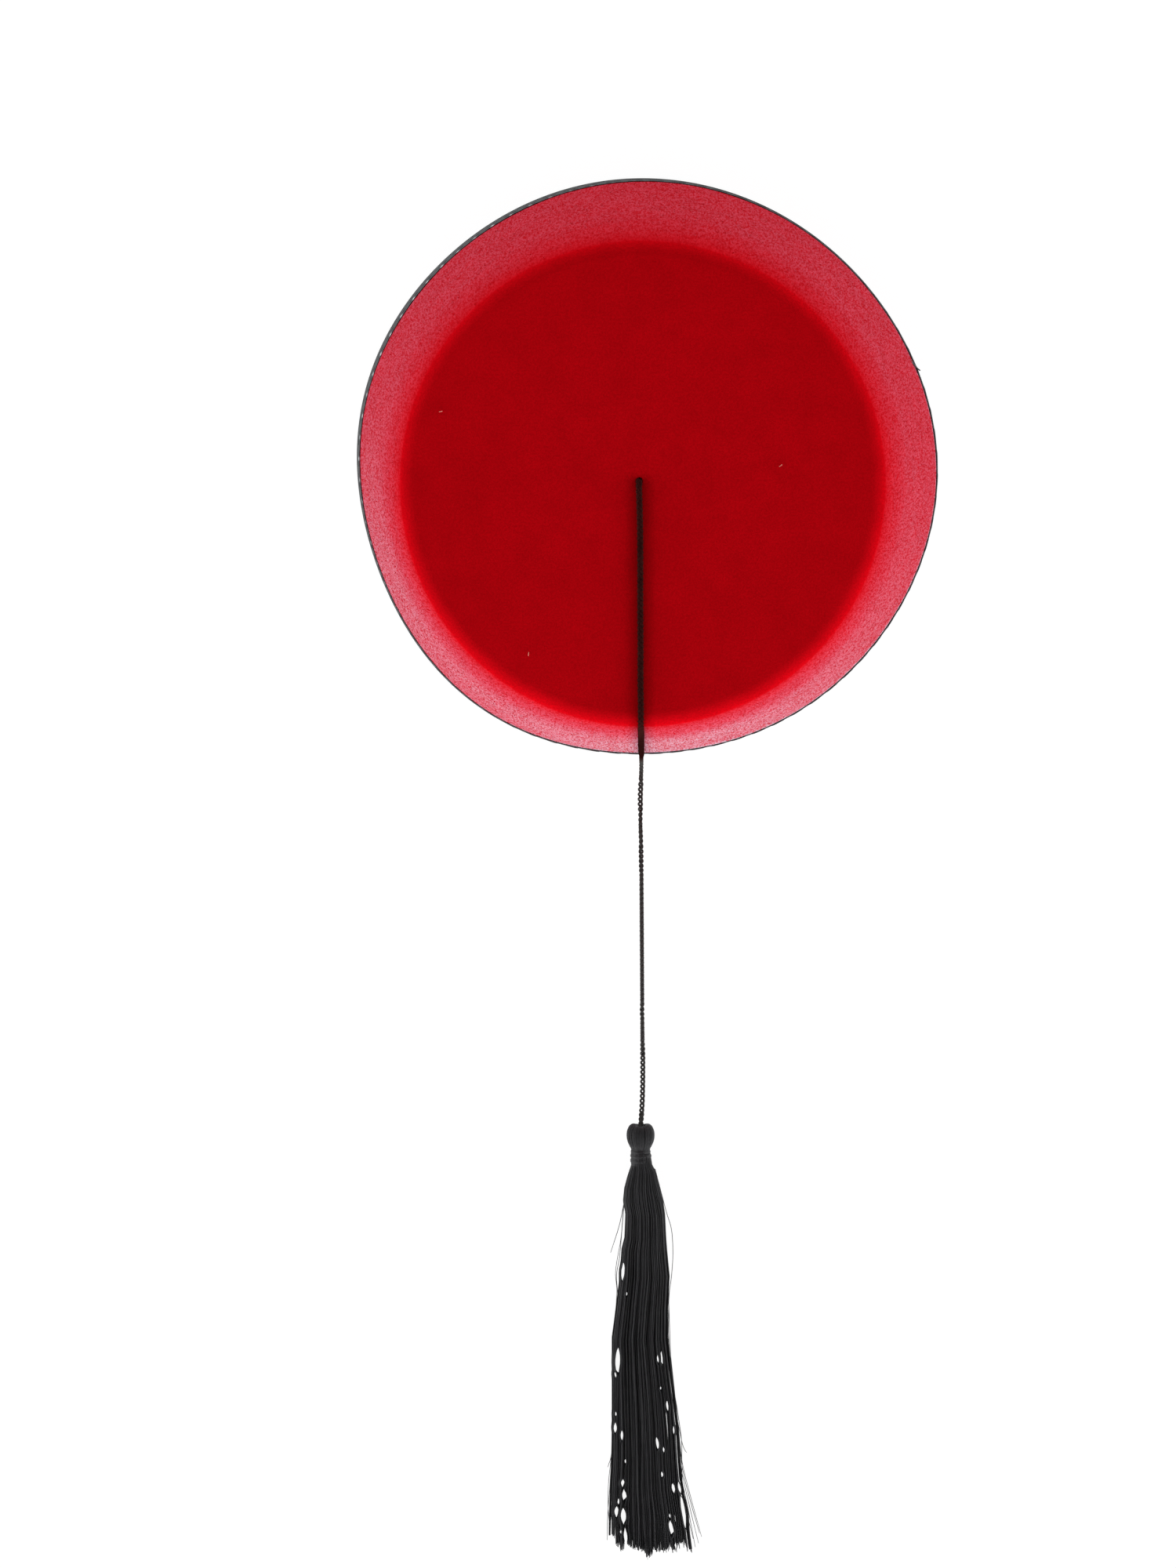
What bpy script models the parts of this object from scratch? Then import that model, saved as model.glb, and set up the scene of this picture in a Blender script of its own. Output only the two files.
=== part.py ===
"""Fez hat: a moulded felt crown with a bound rim, and a tassel on a braided cord.

Metres, +Z up. The hat rests on its rim as a fez does on a table, with the tassel laid out in front.
The origin is the middle of the rim's underside. The tassel lies towards -Y.
"""

from math import asin, atan2, cos, pi, radians, sin, sqrt, tau

import bmesh
import bpy
from mathutils import Matrix, Vector

MM = 0.001

# ---------------------------------------------------------------- driving dimensions
HEAD_CIRCUMFERENCE = 0.570   # round the inside of the bound rim, a middle adult size
HAT_HEIGHT = 0.118           # floor to the middle of the top
CROWN_RADIUS = 0.073         # where the wall and the top would meet if the edge were sharp
CROWN_DOME = 0.0011          # rise of the top's middle over its edge
EDGE_ROUND = 0.0052          # outer radius of the moulded edge
WALL_LEAN = radians(9.2)     # inward lean of the straight wall
SHOULDER_HEIGHT = 0.075      # the wall is straight up to here and curves in above it
SHOULDER_RADIUS = 0.48       # radius of that curve, seen from the side
FELT = 0.002                 # wall of the felt
RIBBON = 0.001               # wall of the folded ribbon
GAP = 0.0003                 # clear space between pieces that touch on the real hat
BINDING_HEIGHT = 0.006       # how far the ribbon reaches up the felt, inside and out

CORD_WIDTH = 0.002           # the flat braid's width, and the tube's diameter
CORD_STEP = 0.004            # spacing of the tube's points along the route
CORD_HOLE = Vector((-0.0010, 0.0016))  # middle of the hole in the top, a little off the hat's axis
CORD_HOLE_RADIUS = 0.0015
NECK_RADIUS = 0.0011         # the cord doubled through the hole
LOOP_BEND = 0.0016           # bend of the loop above the hole
KNOT_RADIUS = 0.0032         # the knot under the top, seen from below
KNOT_HALF_HEIGHT = 0.0020
KNOT_TURN = 11               # degrees, keeps the knot's facets off the neck's

TASSEL_TOP = Vector((-0.0012, -0.2169, 0.0040))  # where the cord enters the head
BAND_WALL = 0.0008           # thread wound round the tassel's neck
BAND_RADIUS = 0.0035
BAND_LENGTH = 0.0055
BAND_START = 0.0088          # from the tassel's top to the band, along the tassel
BAND_EASE = 0.0002           # the band's outer edges are eased by this

SIDES = 64                   # facets round the hat
TOP_ROWS = 5                 # rows of facets across the top, the edge, the shoulder and the wall
EDGE_ROWS = 6
SHOULDER_ROWS = 3
WALL_ROWS = 3
HEAD_SIDES = 16
BAND_SIDES = 20
LOCK_SIDES = 8
LOCK_ROWS = 11

# The rim is not a true circle: each row is one wave round the hat, full size at the floor
# and gone at the top. Columns: waves round the hat, height in mm, angle of its crest in degrees.
RIM_WAVES = (
    (2, 0.40, -36),
    (3, 0.55, -13),
    (4, 0.35, -85),
    (5, 0.32, 84),
    (6, 0.17, -37),
)

# The cord's route in mm, from the loop above the hole to the tassel's head. Columns: x, y, z.
CORD_ROUTE = (
    (-1.0, -1.4, 119.3),
    (-0.9, -12.0, 119.3),
    (-0.8, -24.0, 119.2),
    (-0.7, -36.0, 119.1),
    (-0.6, -48.0, 118.9),
    (-0.6, -60.0, 118.7),
    (-0.5, -66.0, 118.6),
    (-0.5, -70.5, 118.4),
    (-0.4, -73.4, 117.3),
    (-0.4, -75.3, 115.1),
    (-0.4, -76.2, 112.0),
    (-0.4, -77.2, 107.0),
    (-0.4, -78.5, 101.0),
    (-0.5, -80.3, 92.0),
    (-0.6, -82.8, 78.0),
    (-0.7, -84.9, 64.0),
    (-0.8, -87.1, 50.0),
    (-0.9, -89.2, 36.0),
    (-1.0, -91.2, 24.0),
    (-1.0, -92.9, 15.5),
    (-1.1, -94.6, 8.9),
    (-1.1, -97.0, 4.0),
    (-1.2, -101.0, 1.6),
    (-1.5, -108.0, 1.2),
    (-1.4, -117.0, 1.2),
    (-1.1, -127.0, 1.2),
    (-1.0, -141.0, 1.2),
    (-0.9, -155.0, 1.2),
    (-0.8, -169.0, 1.2),
    (-0.7, -183.0, 1.2),
    (-0.6, -196.0, 1.2),
    (-0.6, -203.0, 1.4),
    (-0.7, -208.5, 2.2),
    (-0.9, -213.0, 3.4),
    (-1.1, -216.8, 4.0),
)

# The tassel's head and neck as rings round its axis, in mm.
# Columns: distance along from the tassel's top, half width, half height.
HEAD_RINGS = (
    (0.3, 1.5, 1.4),
    (0.0, 2.6, 2.3),
    (0.8, 3.8, 3.3),
    (2.2, 4.4, 3.8),
    (3.8, 4.6, 4.0),
    (5.6, 4.4, 3.9),
    (7.4, 3.8, 3.5),
    (8.5, 2.9, 2.9),
    (9.2, 2.4, 2.4),
    (14.1, 2.4, 2.4),
    (14.9, 3.2, 3.0),
    (18.0, 3.4, 2.8),
    (24.0, 2.6, 1.8),
)

# The skirt's outline seen from above, in mm from the tassel's top.
# Columns: distance along, middle of the skirt in x, half width, height over the floor.
SKIRT_OUTLINE = (
    (14.6, -1.0, 2.6, 6.8),
    (18.0, -0.6, 5.1, 7.2),
    (24.0, -0.6, 6.4, 6.6),
    (34.0, 0.2, 6.9, 6.0),
    (48.0, 0.2, 8.1, 5.6),
    (64.0, -0.7, 8.8, 5.4),
    (84.0, -0.7, 10.0, 5.2),
    (104.0, 0.4, 11.2, 5.0),
    (124.0, 0.8, 12.3, 4.8),
    (148.0, 2.4, 13.4, 4.4),
)

# The locks of thread that make the skirt. Columns: place across the skirt from -1 to 1,
# layer (0 lies on the floor, 1 on top of it), length in mm from the tassel's top, half width in mm.
LOCKS = (
    (-1.00, 0, 143.0, 2.3),
    (-0.68, 0, 145.5, 2.4),
    (-0.34, 0, 146.5, 2.4),
    (0.00, 0, 149.0, 2.5),
    (0.34, 0, 146.0, 2.4),
    (0.68, 0, 145.0, 2.4),
    (1.00, 0, 146.5, 2.2),
    (-0.80, 1, 139.0, 2.1),
    (-0.42, 1, 144.0, 2.4),
    (0.02, 1, 146.5, 2.5),
    (0.44, 1, 143.0, 2.4),
    (0.82, 1, 140.0, 2.1),
)
LOCK_START = 14.6            # mm from the tassel's top to the hidden root of a lock
LOCK_CROWDING = 1.25         # draws the rows of a lock towards its root
LOCK_ROOT = 0.16             # share of a lock over which it comes down to the floor
LOCK_ROOT_WIDTH = 0.55       # widest a lock may be at its root, as a share of half the skirt
LOCK_ROOT_THICKNESS = 2.2    # mm, half
LOCK_TIP = 0.15              # share of a lock over which it thins to its end
TIP_THINNING = 0.3           # share of the width and thickness lost at the end
LAYER_THICKNESS = 0.56       # thickness of one layer, and rise of the upper one, as shares
LAYER_RISE = 0.42            # of the skirt's height
LOCK_LIFT = 0.03             # mm that each lock lies higher than the one before, so none are level

# sRGB colours of the finishes
FELT_RED = "B4101E"
RIBBON_BLACK = "2E2F31"
CORD_BLACK = "26262A"
THREAD_BLACK = "1E1F23"

# ---------------------------------------------------------------- sizes worked out from those
HEAD_RADIUS = HEAD_CIRCUMFERENCE / tau
WALL_STACK = RIBBON + GAP + FELT               # from the head side to the felt's outer face
FOOT_RADIUS = HEAD_RADIUS + WALL_STACK         # felt's outer face, carried down to the floor
EDGE_HEIGHT = RIBBON + GAP                     # the felt's raw edge over the floor
WALL_UP = Vector((-sin(WALL_LEAN), cos(WALL_LEAN)))   # in the (radius, height) plane
WALL_OUT = Vector((cos(WALL_LEAN), sin(WALL_LEAN)))
DOME_RADIUS = (CROWN_RADIUS ** 2 + CROWN_DOME ** 2) / (2 * CROWN_DOME)
CORD_RADIUS = CORD_WIDTH / 2


# ---------------------------------------------------------------- scene helpers
def clear_scene():
    for obj in list(bpy.data.objects):
        bpy.data.objects.remove(obj, do_unlink=True)
    for collection in list(bpy.data.collections):
        bpy.data.collections.remove(collection)


def new_collection(name):
    collection = bpy.data.collections.new(name)
    bpy.context.scene.collection.children.link(collection)
    return collection


def linear(hex_colour):
    """The linear red, green and blue of an sRGB hex colour."""
    channels = [int(hex_colour[i:i + 2], 16) / 255 for i in (0, 2, 4)]
    return [c / 12.92 if c <= 0.04045 else ((c + 0.055) / 1.055) ** 2.4 for c in channels]


def material(name, hex_colour, roughness):
    finish = bpy.data.materials.new(name)
    finish.use_nodes = True
    shader = finish.node_tree.nodes["Principled BSDF"]
    shader.inputs["Base Color"].default_value = (*linear(hex_colour), 1.0)
    shader.inputs["Roughness"].default_value = roughness
    shader.inputs["Metallic"].default_value = 0.0
    return finish


def object_from_bmesh(bm, name, collection, finish):
    mesh = bpy.data.meshes.new(name)
    bm.to_mesh(mesh)
    bm.free()
    obj = bpy.data.objects.new(name, mesh)
    collection.objects.link(obj)
    mesh.materials.append(finish)
    mesh.shade_smooth()
    mesh.set_sharp_from_angle(angle=radians(35))
    return obj


def hide_cutter(obj):
    obj.hide_render = True
    obj.display_type = "WIRE"


# ---------------------------------------------------------------- the hat's surface
def arc_points(centre, radius, start, end, steps):
    """Points on an arc in the (radius, height) plane, both ends included."""
    angles = [start + (end - start) * i / steps for i in range(steps + 1)]
    return [centre + radius * Vector((cos(a), sin(a))) for a in angles]


def wall_at(height):
    """The point of the straight wall's outer face at a height, as (radius, height)."""
    return Vector((FOOT_RADIUS, 0.0)) + WALL_UP * (height / WALL_UP.y)


def upper_crossing(middle_a, radius_a, middle_b, radius_b):
    """Where two circles cross, taking the crossing that lies to the left of the way from a to b."""
    apart = middle_b - middle_a
    along = (apart.length_squared + radius_a ** 2 - radius_b ** 2) / (2 * apart.length)
    aside = sqrt(radius_a ** 2 - along ** 2)
    way = apart.normalized()
    return middle_a + along * way + aside * Vector((-way.y, way.x))


def angle_from(middle, point):
    away = point - middle
    return atan2(away.y, away.x)


def crown_profile():
    """The felt's outer face from the hole in the top to the raw edge, as (radius, height).

    Three arcs and the straight wall, each touching the next: the dome, the edge and the shoulder.
    """
    dome = Vector((0.0, HAT_HEIGHT - DOME_RADIUS))
    shoulder = wall_at(SHOULDER_HEIGHT) - SHOULDER_RADIUS * WALL_OUT
    edge = upper_crossing(shoulder, SHOULDER_RADIUS - EDGE_ROUND, dome, DOME_RADIUS - EDGE_ROUND)
    top_angle = angle_from(dome, edge)
    shoulder_angle = angle_from(shoulder, edge)
    hole_angle = pi / 2 - asin(CORD_HOLE_RADIUS / DOME_RADIUS)
    points = arc_points(dome, DOME_RADIUS, hole_angle, top_angle, TOP_ROWS)
    points += arc_points(edge, EDGE_ROUND, top_angle, shoulder_angle, EDGE_ROWS)[1:]
    points += arc_points(shoulder, SHOULDER_RADIUS, shoulder_angle, WALL_LEAN, SHOULDER_ROWS)[1:]
    straight_top = points[-1]
    raw_edge = wall_at(EDGE_HEIGHT + FELT * WALL_OUT.y)
    points += [straight_top.lerp(raw_edge, i / WALL_ROWS) for i in range(1, WALL_ROWS + 1)]
    return points


def binding_profile():
    """The ribbon's outer face, from its edge outside the hat round the fold to its edge inside."""
    fold_radius = RIBBON + GAP
    fold_rows = 3
    outer_edge = wall_at(EDGE_HEIGHT)
    inner_edge = outer_edge - Vector((FELT / WALL_OUT.x, 0.0))
    climb = WALL_UP * (BINDING_HEIGHT - EDGE_HEIGHT)
    outside = outer_edge + fold_radius * WALL_OUT
    inside = inner_edge - fold_radius * WALL_OUT
    points = [outside + climb]
    points += arc_points(outer_edge, fold_radius, WALL_LEAN, -pi / 2, fold_rows)
    points += arc_points(inner_edge, fold_radius, -pi / 2, -pi + WALL_LEAN, fold_rows)
    points += [inside + climb]
    return points


def rim_wave(angle, height):
    """How far the wall stands out of round at this angle and height."""
    wave = sum(size * cos(waves * angle - radians(crest)) for waves, size, crest in RIM_WAVES)
    return wave * MM * max(0.0, 1.0 - height / HAT_HEIGHT)


def turned_surface(profile):
    """An open surface turned round the hat's axis from a profile, with its faces pointing out."""
    bm = bmesh.new()
    verts = [bm.verts.new((p.x, 0.0, p.y)) for p in profile]
    edges = [bm.edges.new(pair) for pair in zip(verts, verts[1:])]
    bmesh.ops.spin(bm, geom=verts + edges, cent=(0, 0, 0), axis=(0, 0, 1), angle=tau,
                   steps=SIDES, use_merge=True, use_duplicate=False)
    bmesh.ops.remove_doubles(bm, verts=bm.verts, dist=1e-6)
    bmesh.ops.recalc_face_normals(bm, faces=bm.faces)
    lowest_out = max(bm.faces, key=lambda f: f.calc_center_median().xy.length)
    if lowest_out.normal.xy.dot(lowest_out.calc_center_median().xy) < 0:
        bmesh.ops.reverse_faces(bm, faces=bm.faces)
    return bm


def press_out_of_round(bm):
    """Moves each vertex out or in by the rim's waves."""
    for vert in bm.verts:
        angle = atan2(vert.co.y, vert.co.x)
        radius = vert.co.xy.length
        stretched = radius + rim_wave(angle, vert.co.z) * radius / FOOT_RADIUS
        vert.co.xy = vert.co.xy * (stretched / radius)


def add_wall(obj, thickness):
    wall = obj.modifiers.new("wall", "SOLIDIFY")
    wall.thickness = thickness
    wall.offset = -1.0
    wall.use_even_offset = True
    wall.use_rim = True


def make_crown_shell(parts, finish):
    bm = turned_surface(crown_profile())
    press_out_of_round(bm)
    flat_radius = CROWN_RADIUS - EDGE_ROUND
    for vert in bm.verts:
        nearness = 1.0 - vert.co.xy.length / flat_radius
        if nearness > 0:
            vert.co.xy += CORD_HOLE * nearness
    shell = object_from_bmesh(bm, "crown_shell", parts, finish)
    add_wall(shell, FELT)
    return shell


def make_rim_binding(parts, finish):
    bm = turned_surface(binding_profile())
    press_out_of_round(bm)
    binding = object_from_bmesh(bm, "rim_binding", parts, finish)
    add_wall(binding, RIBBON)
    return binding


# ---------------------------------------------------------------- cord
def smooth_route(points, step):
    """Points about a step apart on a Catmull-Rom curve through the route's own points."""
    ends = [2 * points[0] - points[1], *points, 2 * points[-1] - points[-2]]
    fine = []
    for a, b, c, d in zip(ends, ends[1:], ends[2:], ends[3:]):
        for i in range(20):
            t = i / 20
            fine.append(0.5 * (2 * b + (c - a) * t + (2 * a - 5 * b + 4 * c - d) * t ** 2
                               + (3 * b - a - 3 * c + d) * t ** 3))
    fine.append(points[-1])
    run = [0.0]
    for a, b in zip(fine, fine[1:]):
        run.append(run[-1] + (b - a).length)
    count = round(run[-1] / step)
    spaced = []
    place = 0
    for i in range(count + 1):
        want = run[-1] * i / count
        while place < len(fine) - 2 and run[place + 1] < want:
            place += 1
        share = (want - run[place]) / (run[place + 1] - run[place])
        spaced.append(fine[place].lerp(fine[place + 1], min(share, 1.0)))
    return spaced


def tube(name, points, radius, collection, finish):
    """A round tube with filled caps along the points."""
    curve = bpy.data.curves.new(name, "CURVE")
    curve.dimensions = "3D"
    curve.bevel_depth = radius
    curve.bevel_resolution = 2
    curve.use_fill_caps = True
    spline = curve.splines.new("POLY")
    spline.points.add(len(points) - 1)
    for place, point in zip(spline.points, points):
        place.co = (*point, 1.0)
    curve.materials.append(finish)
    obj = bpy.data.objects.new(name, curve)
    collection.objects.link(obj)
    return obj


def mesh_of_curve(obj, collection):
    """Turns a curve object into a closed mesh object of the same name and removes the curve."""
    evaluated = obj.evaluated_get(bpy.context.evaluated_depsgraph_get())
    mesh = bpy.data.meshes.new_from_object(evaluated)
    name = obj.name
    place = obj.matrix_world.copy()
    bpy.data.objects.remove(obj, do_unlink=True)
    bm = bmesh.new()
    bm.from_mesh(mesh)
    bmesh.ops.remove_doubles(bm, verts=bm.verts, dist=1e-6)
    bmesh.ops.recalc_face_normals(bm, faces=bm.faces)
    bm.to_mesh(mesh)
    bm.free()
    solid = bpy.data.objects.new(name, mesh)
    solid.matrix_world = place
    collection.objects.link(solid)
    return solid


def make_tassel_cord(parts, finish):
    route = [Vector(point) * MM for point in CORD_ROUTE]
    return tube("tassel_cord", smooth_route(route, CORD_STEP), CORD_RADIUS, parts, finish)


def make_cord_knot(parts, cutters, finish):
    """The knot under the top, the neck through the hole and the loop that turns to the cord."""
    under_top = HAT_HEIGHT - FELT - GAP
    knot_middle = Vector((*CORD_HOLE, under_top - KNOT_HALF_HEIGHT))
    cord_start = Vector(CORD_ROUTE[0]) * MM
    bend_middle = Vector((CORD_HOLE.x, CORD_HOLE.y - LOOP_BEND, cord_start.z - LOOP_BEND))
    quarter = [pi / 2 * i / 4 for i in range(5)]
    loop = [bend_middle + LOOP_BEND * Vector((0, cos(a), sin(a))) for a in quarter]
    loop_end = Vector((CORD_HOLE.x, cord_start.y + GAP, cord_start.z))
    neck = tube("cord_knot", [knot_middle, *loop, loop_end], NECK_RADIUS, parts, finish)
    knot = mesh_of_curve(neck, parts)
    bm = bmesh.new()
    shape = Matrix.Diagonal((KNOT_RADIUS, KNOT_RADIUS, KNOT_HALF_HEIGHT, 1.0))
    turn = Matrix.Rotation(radians(KNOT_TURN), 4, "Z")
    bmesh.ops.create_uvsphere(bm, u_segments=16, v_segments=8, radius=1.0,
                              matrix=Matrix.Translation(knot_middle) @ shape @ turn)
    ball = object_from_bmesh(bm, "knot_ball", cutters, finish)
    hide_cutter(ball)
    join = knot.modifiers.new("knot", "BOOLEAN")
    join.operation = "UNION"
    join.object = ball
    return knot


# ---------------------------------------------------------------- tassel
def ring_verts(bm, middle, half_width, half_height, sides, turn=0.0):
    """A ring of vertices across the tassel, round a point on its line."""
    angles = [tau * (i + turn) / sides for i in range(sides)]
    return [bm.verts.new(middle + Vector((half_width * cos(a), 0.0, half_height * sin(a))))
            for a in angles]


def loft(bm, rings):
    """Closes a row of rings of equal count into one body with flat ends."""
    for ring, following in zip(rings, rings[1:]):
        for i in range(len(ring)):
            j = (i + 1) % len(ring)
            bm.faces.new((ring[i], ring[j], following[j], following[i]))
    bm.faces.new(rings[0])
    bm.faces.new(rings[-1])
    bmesh.ops.recalc_face_normals(bm, faces=bm.faces)


def outline_at(table, along):
    """The columns of a table after its first, read at a distance between its rows."""
    if along <= table[0][0]:
        return table[0][1:]
    for low, high in zip(table, table[1:]):
        if along <= high[0]:
            t = (along - low[0]) / (high[0] - low[0])
            return tuple(a + (b - a) * t for a, b in zip(low[1:], high[1:]))
    return table[-1][1:]


def make_lock(number, place, layer, length, half_width, locks, finish):
    """One lock of the skirt: narrow at the band, wide and flat on the floor, thinner at its end."""
    axis_height = TASSEL_TOP.z / MM
    bm = bmesh.new()
    rings = []
    for row in range(LOCK_ROWS):
        t = row / (LOCK_ROWS - 1)
        along = LOCK_START + (length - LOCK_START) * t ** LOCK_CROWDING
        middle, skirt_half, skirt_height = outline_at(SKIRT_OUTLINE, along)
        root = max(0.0, 1.0 - t / LOCK_ROOT)
        thinning = 1.0 - TIP_THINNING * max(0.0, t - 1.0 + LOCK_TIP) / LOCK_TIP
        wide = min(half_width, LOCK_ROOT_WIDTH * skirt_half) * thinning
        thick = 0.5 * LAYER_THICKNESS * skirt_height * thinning
        if root > 0:
            thick = min(thick, LOCK_ROOT_THICKNESS)
        lying = LOCK_LIFT * (number + 1) + layer * LAYER_RISE * skirt_height + thick
        height = lying * (1.0 - root) + axis_height * root
        x = middle + place * (skirt_half - wide)
        centre = Vector((x * MM, TASSEL_TOP.y - along * MM, height * MM))
        turn = 0.07 * number
        rings.append(ring_verts(bm, centre, wide * MM, thick * MM, LOCK_SIDES, turn))
    loft(bm, rings)
    lock = object_from_bmesh(bm, f"lock_{number + 1:02d}", locks, finish)
    hide_cutter(lock)
    return lock


def make_tassel(parts, locks, finish):
    bm = bmesh.new()
    rings = []
    for along, half_width, half_height in HEAD_RINGS:
        middle = Vector((TASSEL_TOP.x, TASSEL_TOP.y - along * MM, TASSEL_TOP.z))
        rings.append(ring_verts(bm, middle, half_width * MM, half_height * MM, HEAD_SIDES))
    loft(bm, rings)
    tassel = object_from_bmesh(bm, "tassel", parts, finish)
    for number, (place, layer, length, half_width) in enumerate(LOCKS):
        make_lock(number, place, layer, length, half_width, locks, finish)
    fuse = tassel.modifiers.new("locks", "BOOLEAN")
    fuse.operation = "UNION"
    fuse.operand_type = "COLLECTION"
    fuse.collection = locks
    return tassel


def make_tassel_band(parts, finish):
    """The wound thread as one ring, with its outer edges eased."""
    inner, outer = BAND_RADIUS - BAND_WALL, BAND_RADIUS
    half, eased = BAND_LENGTH / 2, BAND_LENGTH / 2 - BAND_EASE
    outline = (
        (inner, half), (outer - BAND_EASE, half), (outer, eased),
        (outer, -eased), (outer - BAND_EASE, -half), (inner, -half),
    )
    bm = bmesh.new()
    verts = [bm.verts.new((radius, along, 0.0)) for radius, along in outline]
    edges = [bm.edges.new(pair) for pair in zip(verts, verts[1:] + verts[:1])]
    bmesh.ops.spin(bm, geom=verts + edges, cent=(0, 0, 0), axis=(0, 1, 0), angle=tau,
                   steps=BAND_SIDES, use_merge=True, use_duplicate=False)
    bmesh.ops.remove_doubles(bm, verts=bm.verts, dist=1e-6)
    bmesh.ops.recalc_face_normals(bm, faces=bm.faces)
    band = object_from_bmesh(bm, "tassel_band", parts, finish)
    band.location = (TASSEL_TOP.x, TASSEL_TOP.y - BAND_START - half, TASSEL_TOP.z)
    return band


def main():
    clear_scene()
    parts = new_collection("fez_hat")
    cutters = new_collection("cutters")
    locks = new_collection("tassel_locks")
    felt = material("moulded_felt", FELT_RED, 0.95)
    ribbon = material("rim_ribbon", RIBBON_BLACK, 0.7)
    braid = material("braided_cord", CORD_BLACK, 0.6)
    thread = material("tassel_thread", THREAD_BLACK, 0.5)
    make_crown_shell(parts, felt)
    make_rim_binding(parts, ribbon)
    make_cord_knot(parts, cutters, braid)
    make_tassel_cord(parts, braid)
    make_tassel(parts, locks, thread)
    make_tassel_band(parts, thread)


main()
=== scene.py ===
"""Looks for a felt fez with a bound rim and a tassel on a plaited cord.

Metres, +Z up. The origin is the middle of the rim's underside, and the tassel lies towards -Y.
The sizes are those of the solids in the frame. Only the finish and the fine shapes are made
here.
"""

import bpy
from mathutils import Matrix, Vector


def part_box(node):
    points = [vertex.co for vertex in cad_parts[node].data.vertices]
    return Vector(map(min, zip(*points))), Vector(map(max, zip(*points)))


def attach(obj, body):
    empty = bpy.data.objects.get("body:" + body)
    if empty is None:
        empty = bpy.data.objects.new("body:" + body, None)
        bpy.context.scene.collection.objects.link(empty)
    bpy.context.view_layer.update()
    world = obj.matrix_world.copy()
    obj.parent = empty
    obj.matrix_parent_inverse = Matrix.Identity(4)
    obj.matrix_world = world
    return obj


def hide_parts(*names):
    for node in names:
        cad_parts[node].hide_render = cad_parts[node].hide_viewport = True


bl_info = {
    "name": "Fez hat looks",
    "version": (1, 0, 0),
    "blender": (4, 5, 0),
    "location": "View3D > Sidebar > Fez hat",
    "description": "Makes a fez's felt, bound rim, plaited cord and thread tassel",
    "category": "Object",
}

from math import asin, atan2, cos, floor, pi, radians, sin, sqrt, tau

import bmesh
import bpy
import numpy as np
from bpy.props import FloatProperty, FloatVectorProperty, IntProperty, PointerProperty
from mathutils import Matrix, Vector

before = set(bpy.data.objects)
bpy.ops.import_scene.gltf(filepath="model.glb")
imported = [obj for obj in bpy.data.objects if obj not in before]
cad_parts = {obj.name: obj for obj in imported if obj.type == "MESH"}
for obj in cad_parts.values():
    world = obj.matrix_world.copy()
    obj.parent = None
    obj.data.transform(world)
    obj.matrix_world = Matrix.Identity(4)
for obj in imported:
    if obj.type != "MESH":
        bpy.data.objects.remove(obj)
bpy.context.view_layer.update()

MM = 0.001
BODY = "root"

# ---------------------------------------------------------------- sizes shared with the solids
HAT_HEIGHT = 0.118           # floor to the middle of the top
FOOT_RADIUS = 0.09402        # felt's outer face, carried down to the floor
CROWN_RADIUS = 0.073         # where the wall and the top would meet if the edge were sharp
CROWN_DOME = 0.0011          # rise of the top's middle over its edge
EDGE_ROUND = 0.0052          # outer radius of the moulded edge
WALL_LEAN = radians(9.2)     # inward lean of the straight wall
SHOULDER_HEIGHT = 0.075      # the wall is straight up to here and curves in above it
SHOULDER_RADIUS = 0.48       # radius of that curve, seen from the side
CORD_HOLE = Vector((-0.0010, 0.0016))
LOOP_BEND = 0.0016           # bend of the loop above the hole
TASSEL_TOP = Vector((-0.0012, -0.2169, 0.0040))  # where the cord enters the tassel's head

WALL_UP = Vector((-sin(WALL_LEAN), cos(WALL_LEAN)))   # in the (radius, height) plane
WALL_OUT = Vector((cos(WALL_LEAN), sin(WALL_LEAN)))
DOME_RADIUS = (CROWN_RADIUS ** 2 + CROWN_DOME ** 2) / (2 * CROWN_DOME)

# The rim is not a true circle: each row is one wave round the hat, full size at the floor
# and gone at the top. Columns: waves round the hat, height in mm, angle of its crest in degrees.
# The first two rows let the felt out to where the thicker binding of the solids has its middle.
RIM_WAVES = (
    (0, 0.44, 0),
    (1, 0.26, -75),
    (2, 0.40, -36),
    (3, 0.55, -13),
    (4, 0.35, -85),
    (5, 0.32, 84),
    (6, 0.17, -37),
)

# ---------------------------------------------------------------- sizes of the fine shapes
CORD_HOLE_RADIUS = 0.0009    # the felt closes on the cord
CORD_LINE = -0.0007          # x of the line that the cord takes over the top and down the wall
CORD_SHADOW_HALF_WIDTH = 0.0048       # half the width of the painted shadow beside the cord
EDGE_CLEAR = 0.00006         # between the felt's raw edge and the ribbon folded under it
FOLD_CREST = radians(150)    # side of the rim where the ribbon reaches furthest up the felt
STITCH_PLACE = 0.72          # share of the ribbon's outer leg at which it is sewn
HEAD_THREAD = 0.00030        # diameter of the threads folded over the tassel's head
WRAP_THREAD = 0.00054        # and of the thread wound round its neck

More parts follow.
